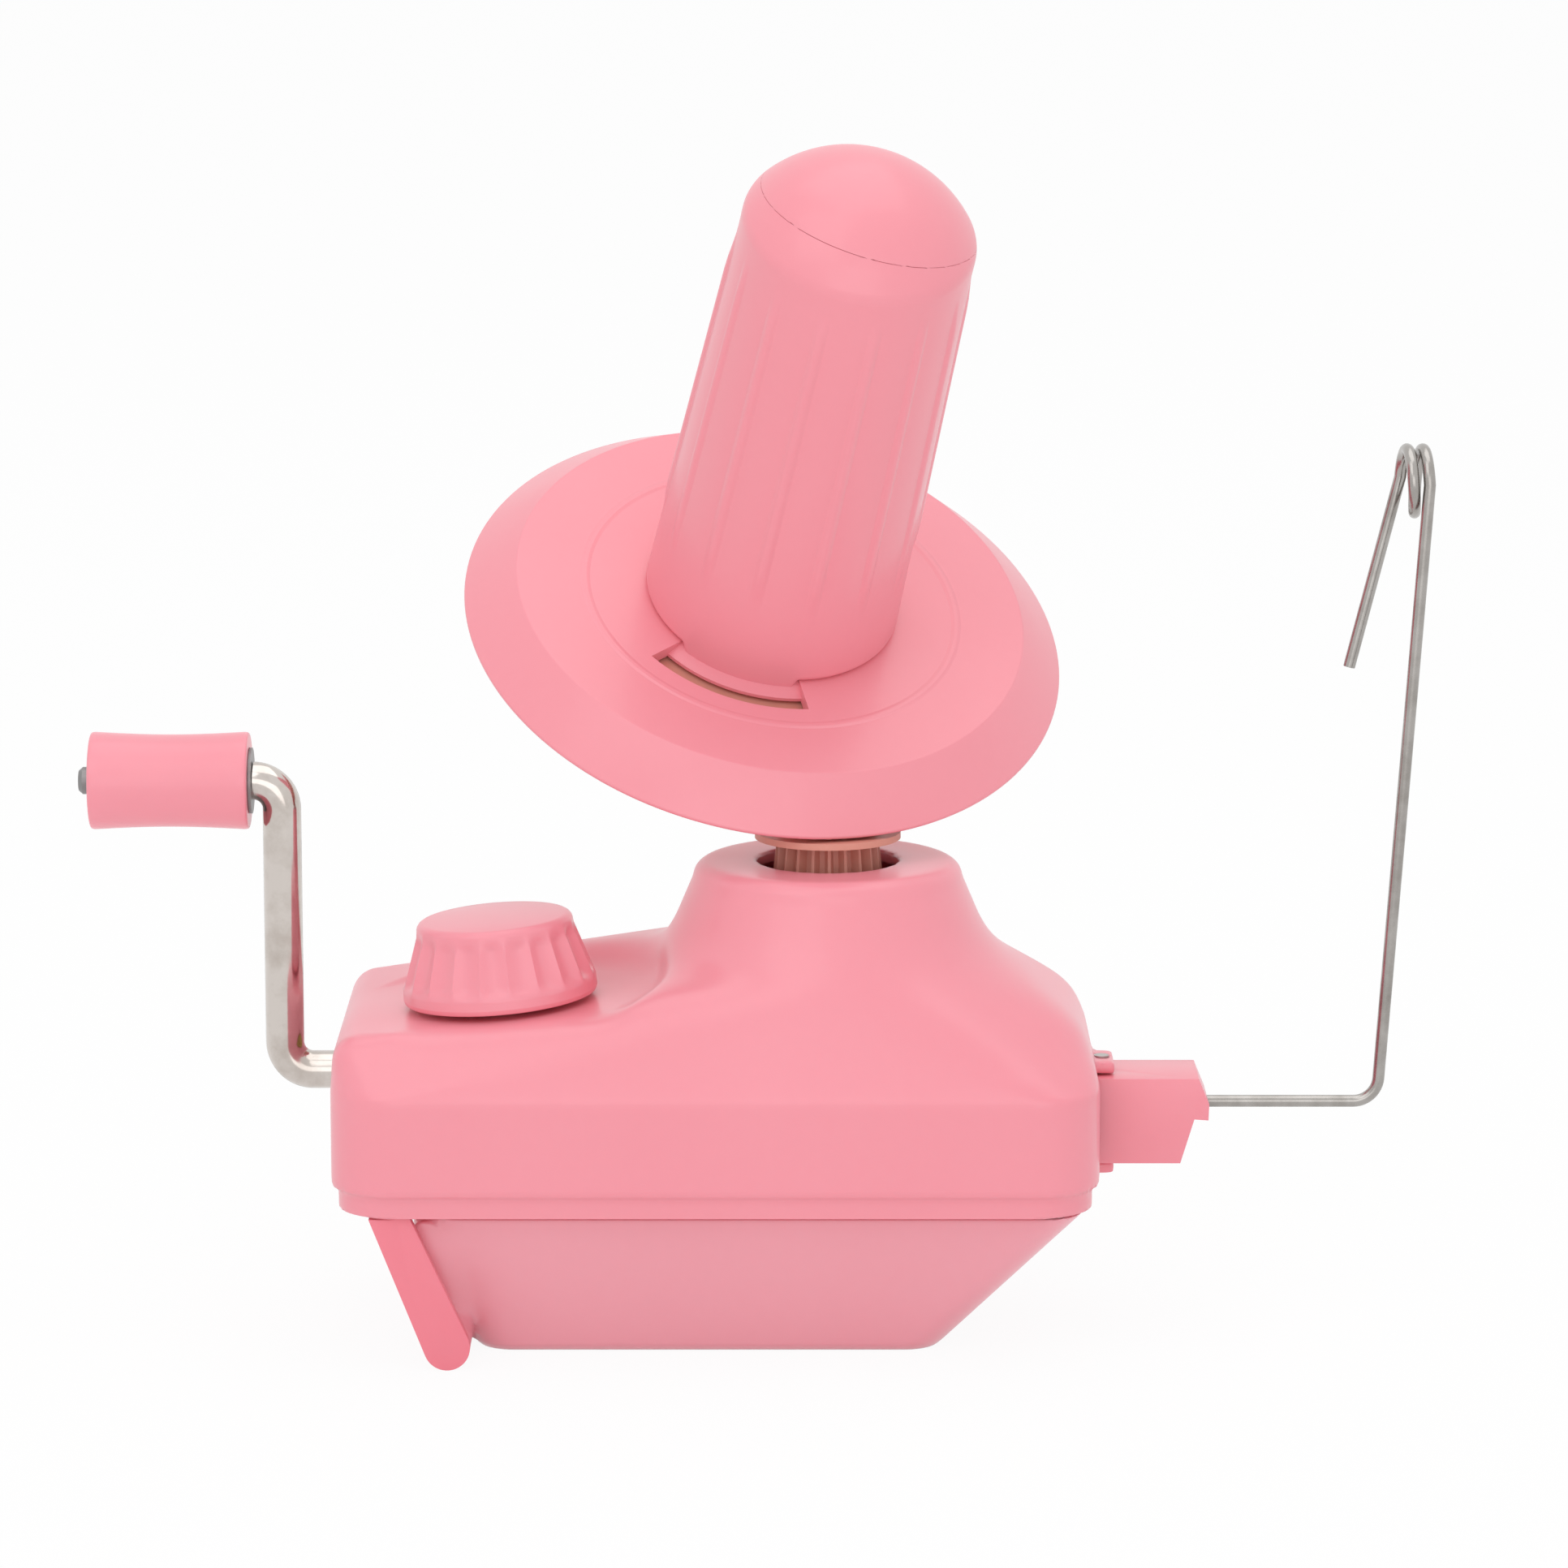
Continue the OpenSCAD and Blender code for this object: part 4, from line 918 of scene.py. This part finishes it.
    def _ring_teeth(self) -> bpy.types.Object:
        """Makes one ring tooth and copies it round.

        Returns:
            All the teeth as one piece.
        """
        Bench.clear()
        bpy.ops.mesh.primitive_cube_add(size=2)
        tooth = bpy.context.object
        tooth.name = "ring_teeth"
        tip_r, root_r, tip_half, root_half = self.tooth_low
        for vertex in tooth.data.vertices:
            share = 1.0 if vertex.co.z < 0 else self.tooth_high_share
            height = self.rim_z if vertex.co.z < 0 else self.plate_z - self.plate_t + 0.2
            radius = (tip_r if vertex.co.x < 0 else root_r + 0.4) * share * MM
            turn = math.radians(math.copysign(tip_half if vertex.co.x < 0 else root_half, vertex.co.y))
            vertex.co = (radius * math.cos(turn), radius * math.sin(turn), height * MM)
        tooth.data.transform(Matrix.Rotation(math.pi / self.teeth, 4, "Z"))
        Bench.edit(tooth)
        bpy.ops.mesh.spin(steps=self.teeth - 1, dupli=True, angle=2 * math.pi * (self.teeth - 1) / self.teeth,
                          use_auto_merge=False, center=(0, 0, 0), axis=(0, 0, 1))
        bpy.ops.mesh.select_all(action="SELECT")
        bpy.ops.mesh.normals_make_consistent(inside=False)
        Bench.clear()
        return tooth

    def _end_line(self, inset: float) -> Line:
        """Draws the barrel's closed end from its wall to the axis.

        Args:
            inset: How far the line lies inside the skin.

        Returns:
            The line's points in millimetres.
        """
        arm = self.barrel_top_r - self.edge_r
        rise = math.sqrt((self.dome_r - self.edge_r) ** 2 - arm ** 2)
        first = math.atan2(rise, arm)
        edge = [(arm + (self.edge_r - inset) * math.cos(first * k / 8),
                 self.dome_z + rise + (self.edge_r - inset) * math.sin(first * k / 8)) for k in range(9)]
        radius = self.dome_r - inset
        dome = [(radius * math.cos(t), self.dome_z + radius * math.sin(t))
                for t in [first + (math.pi / 2 - first) * k / 20 for k in range(1, 21)]]
        return [(self.barrel_top_r - inset, self.wall_top_z), *edge, *dome]

    def _split(self, piece: bpy.types.Object, lift: float, keep_lid: bool) -> None:
        """Cuts a piece along the lid's seam.

        Args:
            piece: The piece, with its axis on Z.
            lift: How far the cut lies above the middle of the seam in millimetres.
            keep_lid: Whether the lid's side is kept.
        """
        way = Vector((0, 0, 1))
        way.rotate(Matrix.Rotation(math.radians(self.lid_lean), 3, "Y"))
        way.rotate(Matrix.Rotation(math.radians(self.lid_az), 3, "Z"))
        middle = Vector((0, 0, self.dome_z)) + way * (self.lid_h + lift)
        Bench.edit(piece)
        bpy.ops.mesh.bisect(plane_co=middle * MM, plane_no=way, use_fill=True, clear_outer=not keep_lid,
                            clear_inner=keep_lid)
        Bench.clear()

    def _barrel(self) -> None:
        """Turns the barrel, raises its ribs and opens its end."""
        foot, foot_r = self.plate_z, self.barrel_foot_r
        low, high = foot + self.rib_low, self.wall_top_z
        side = [(foot_r + (self.barrel_top_r - foot_r) * t, foot + (high - foot) * t, 0)
                for t in [0.06 + 0.93 * k / 28 for k in range(29)]]
        inner_r = foot_r - self.foot_round - 1
        line = rounded([(inner_r, foot, 0), (foot_r, foot, self.foot_round), *side], 6)
        line += [*self._end_line(0), *reversed(self._end_line(self.wall)), (inner_r, foot + self.foot_round),
                 line[0]]
        barrel = Bench.turned("spool_tube", line, self.ribs * self.rib_steps, Matrix.Identity(4))
        edge = math.cos(self.rib_w / 2 / foot_r * self.ribs)
        for vertex in barrel.data.vertices:
            height = vertex.co.z / MM
            if low < height < high and vertex.co.xy.length > (self.barrel_top_r - 0.6) * MM:
                turn = (math.atan2(vertex.co.y, vertex.co.x) - math.radians(self.rib_az)) * self.ribs
                fade = min(1.0, (height - low) / self.rib_fades[0], (high - height) / self.rib_fades[1])
                swell = self.rib_h * fade * max(0.0, (math.cos(turn) - edge) / (1 - edge)) * MM
                vertex.co.xy *= 1 + swell / vertex.co.xy.length
        self._reach_slot(barrel)
        self._split(barrel, -self.seam / 2, False)
        barrel.data.transform(self.stand)
        Bench.settle(barrel, "spool", "spool", Finish.SPOOL, "spool_barrel", crease=45)

    def _reach_slot(self, barrel: bpy.types.Object) -> None:
        """Draws the barrel's wall straight down into the ramp beside the slot.

        Args:
            barrel: The barrel, with its axis on Z.
        """
        start, sweep = self.slot[2:]
        first, last = self.reach_fades
        inner_r = (self.barrel_foot_r - self.foot_round - 0.2) * MM
        for vertex in barrel.data.vertices:
            height = vertex.co.z / MM - self.plate_z
            angle = math.degrees(math.atan2(vertex.co.y, vertex.co.x)) - start
            if height < self.foot_round and vertex.co.xy.length > inner_r:
                share = max(0.0, min(1.0, (angle - 1) / first, (sweep - 1 - angle) / last))
                vertex.co.xy *= 1 + share * (self.barrel_foot_r * MM / vertex.co.xy.length - 1)
                vertex.co.z -= self.slot_ramp * share * (1 - height / self.foot_round) * MM

    def _lid(self) -> None:
        """Turns the domed lid and cuts it at its oblique seam."""
        outside = self._end_line(0)
        lid = Bench.turned("spool_lid", [*outside, *reversed(self._end_line(self.wall)), outside[0]], 256,
                           Matrix.Identity(4))
        self._split(lid, self.seam / 2, True)
        Bench.modify(lid, "BEVEL", width=self.lid_edge * MM, segments=3, limit_method="ANGLE",
                     angle_limit=math.radians(50))
        lid.data.transform(self.stand)
        Bench.settle(lid, "spool", "spool", Finish.SPOOL, "spool_cap", crease=40)


@dataclass
class YarnGuide:
    """The swinging block and the wire with its coil eye.

    Attributes:
        wire_r: Radius of the wire in millimetres.
        inner_x: Where the wire ends in the block.
        wire_z: Height of the level stretch.
        corner_x: Where the upright would meet the level stretch.
        bend_r: Radius of that bend.
        lean: Outward lean of the upright in degrees.
        eye_z: Height of the eye.
        eye_r: Radius of the eye's turns.
        eye_turns: Turns of the eye.
        eye_pitch: Spacing of the turns.
        leg_len: Length of the short leg.
        leg_lean: Lean of the short leg in degrees.
        edge: Rounding of the block's edges in metres.
    """

    wire_r: float = 1.2
    inner_x: float = 61.4
    wire_z: float = 44.5
    corner_x: float = 109.2
    bend_r: float = 5.0
    lean: float = 3.9
    eye_z: float = 168.0
    eye_r: float = 6.2
    eye_turns: float = 1.5
    eye_pitch: float = 3.1
    leg_len: float = 39.2
    leg_lean: float = 14.0
    edge: float = 0.7 * MM

    def _path(self) -> list[Vector]:
        """The wire's middle line.

        Returns:
            Its points in millimetres.
        """
        rise = math.radians(90 - self.lean)
        trim = self.bend_r * math.tan(rise / 2)
        out = [Vector((self.inner_x, 0, self.wire_z))]
        for k in range(13):
            turn = rise * k / 12
            out.append(Vector((self.corner_x - trim + self.bend_r * math.sin(turn), 0,
                               self.wire_z + self.bend_r * (1 - math.cos(turn)))))
        tall = self.eye_z - self.wire_z
        slope = math.tan(math.radians(self.lean))
        out += [Vector((self.corner_x + tall * t * slope, 0, self.wire_z + tall * t))
                for t in (0.3, 0.6, 0.9, 0.97)]
        steps = 48
        for k in range(int(self.eye_turns * steps) + 1):
            turn = 2 * math.pi * k / steps
            out.append(Vector((self.corner_x + tall * slope - self.eye_pitch * k / steps,
                               self.eye_r * (1 - math.cos(turn)), self.eye_z + self.eye_r * math.sin(turn))))
        fall = math.radians(self.leg_lean)
        way = Vector((-math.sin(fall), 0, -math.cos(fall))) * self.leg_len
        last = out[-1]
        out += [last + way * t for t in (0.06, 0.3, 0.7, 1)]
        return out

    def build(self) -> None:
        """Builds the block and the wire."""
        block = Bench.copy_of("guide_block", "guide_arm_block")
        Bench.eased(block, self.edge, 4)
        Bench.settle(block, "guide_arm", "shell", Finish.SHELL, "guide_block")
        wire = Bench.bent("guide_hook", [point * MM for point in self._path()], self.wire_r * MM)
        Bench.settle(wire, "guide_wire", "wire", Finish.WIRE, "guide_wire", crease=60)


@dataclass
class Works:
    """The solids that keep their shape and get their finish.

    Attributes:
        finishes: Finish of each of the record's slots.
    """

    finishes: tuple[tuple[str, Finish], ...] = (
        ("shell", Finish.SHELL), ("spool", Finish.SPOOL), ("gear", Finish.GEAR), ("rubber", Finish.RUBBER),
        ("rod", Finish.ROD), ("wire", Finish.WIRE), ("steel", Finish.STEEL), ("dark_steel", Finish.DARK),
        ("bronze", Finish.BRONZE))

    def build(self) -> None:
        """Gives every solid that still shows its finish."""
        by_slot = dict(self.finishes)
        for part in frame["record"]["subparts"]:
            node = frame["nodes"][part["node"]]
            if node.hide_render:
                continue
            node.data.materials.clear()
            node.data.materials.append(by_slot[part["material_slot"]].material)
            LOG.info("%s: solid in %s", node.name, part["material_slot"])


@dataclass
class Studio:
    """Floor, light and camera.

    Attributes:
        target: Point at the middle of the picture.
        distance: Distance of the camera.
        elevation: Height angle of the camera in degrees.
        lens: Focal length in millimetres on a 36 mm sensor.
        ambient: Strength of the light from all round.
        floor_share: How much of the floor's own white the camera sees.
        lamps: Name, place, width in metres and power in watts of each softbox.
    """

    target: tuple[float, float, float] = (-0.00864, 0.0, 0.1086)
    distance: float = 1.28
    elevation: float = 10.5
    lens: float = 149.07
    ambient: float = 0.76
    floor_share: float = 0.93
    lamps: tuple[tuple[str, tuple[float, float, float], float, float], ...] = (
        ("key_softbox", (-0.55, -1.0, 1.25), 1.1, 3.2),
        ("top_softbox", (0.15, 0.1, 1.5), 1.3, 4.5),
        ("fill_softbox", (0.1, -1.3, 0.15), 1.0, 2.6))

    def build(self) -> None:
        """Builds the studio."""
        bpy.context.scene.view_settings.view_transform = "Standard"
        self._camera()
        self._world()
        self._floor()
        for lamp in self.lamps:
            self._lamp(*lamp)

    def _camera(self) -> None:
        """Stands the camera at the photograph's angle."""
        Bench.clear()
        rise = math.radians(self.elevation)
        back = Vector((0, -math.cos(rise), math.sin(rise)))
        bpy.ops.object.camera_add(location=Vector(self.target) + back * self.distance,
                                  rotation=(-back).to_track_quat("-Z", "Y").to_euler())
        camera = bpy.context.object
        camera.data.type = "PERSP"
        camera.data.lens = self.lens
        camera.data.sensor_width = 36.0
        bpy.context.scene.camera = camera

    def _seen(self, graph: Graph) -> Socket:
        """1 for rays that show the background.

        Args:
            graph: The tree that the value is made in.

        Returns:
            The value.
        """
        camera = graph.node("ShaderNodeLightPath", {}, {}, "Is Camera Ray")
        glossy = graph.node("ShaderNodeLightPath", {}, {}, "Is Glossy Ray")
        through = graph.node("ShaderNodeLightPath", {}, {}, "Is Transmission Ray")
        return camera.largest(glossy).largest(through)

    def _world(self) -> None:
        """White all round for the camera, softer as light."""
        world = bpy.data.worlds.new("studio_world")
        bpy.context.scene.world = world
        world.use_nodes = True
        graph = Graph(world.node_tree)
        light = graph.node("ShaderNodeBackground", {}, {
            "Color": (1, 1, 1, 1), "Strength": graph.spread(self._seen(graph), 0, 1, self.ambient, 1.0)})
        graph.node("ShaderNodeOutputWorld", {}, {"Surface": light}, None)

    def _floor(self) -> None:
        """Lays the pale floor."""
        Bench.clear()
        bpy.ops.mesh.primitive_plane_add(size=12)
        floor = bpy.context.object
        floor.name = "studio_floor"
        material = bpy.data.materials.new("pale_floor")
        material.use_nodes = True
        graph = Graph(material.node_tree)
        matt = graph.node("ShaderNodeBsdfDiffuse", {}, {"Color": (0.94, 0.94, 0.94, 1)})
        white = graph.node("ShaderNodeEmission", {}, {"Color": (1, 1, 1, 1), "Strength": 1.0})
        share = self._seen(graph) * self.floor_share
        mixed = graph.node("ShaderNodeMixShader", {}, {0: share, 1: matt, 2: white})
        graph.node("ShaderNodeOutputMaterial", {}, {"Surface": mixed}, None)
        floor.data.materials.append(material)

    def _lamp(self, name: str, place: tuple[float, float, float], size: float, power: float) -> None:
        """Hangs one softbox.

        Args:
            name: Name of the lamp.
            place: Where it hangs.
            size: Its width in metres.
            power: Its power in watts.
        """
        Bench.clear()
        way = (Vector(self.target) - Vector(place)).to_track_quat("-Z", "Y")
        bpy.ops.object.light_add(type="AREA", location=place, rotation=way.to_euler())
        lamp = bpy.context.object
        lamp.name = name
        lamp.data.size = size
        lamp.data.energy = power


def main() -> None:
    """Builds the studio and every piece in order."""
    logging.basicConfig(level=logging.INFO, format="%(name)s %(message)s")
    for group in (Studio(), Housing(), Clamp(), Crank(), Spool(), YarnGuide(), Works()):
        group.build()
        LOG.info("%s done", type(group).__name__)


if __name__ == "__main__":
    main()
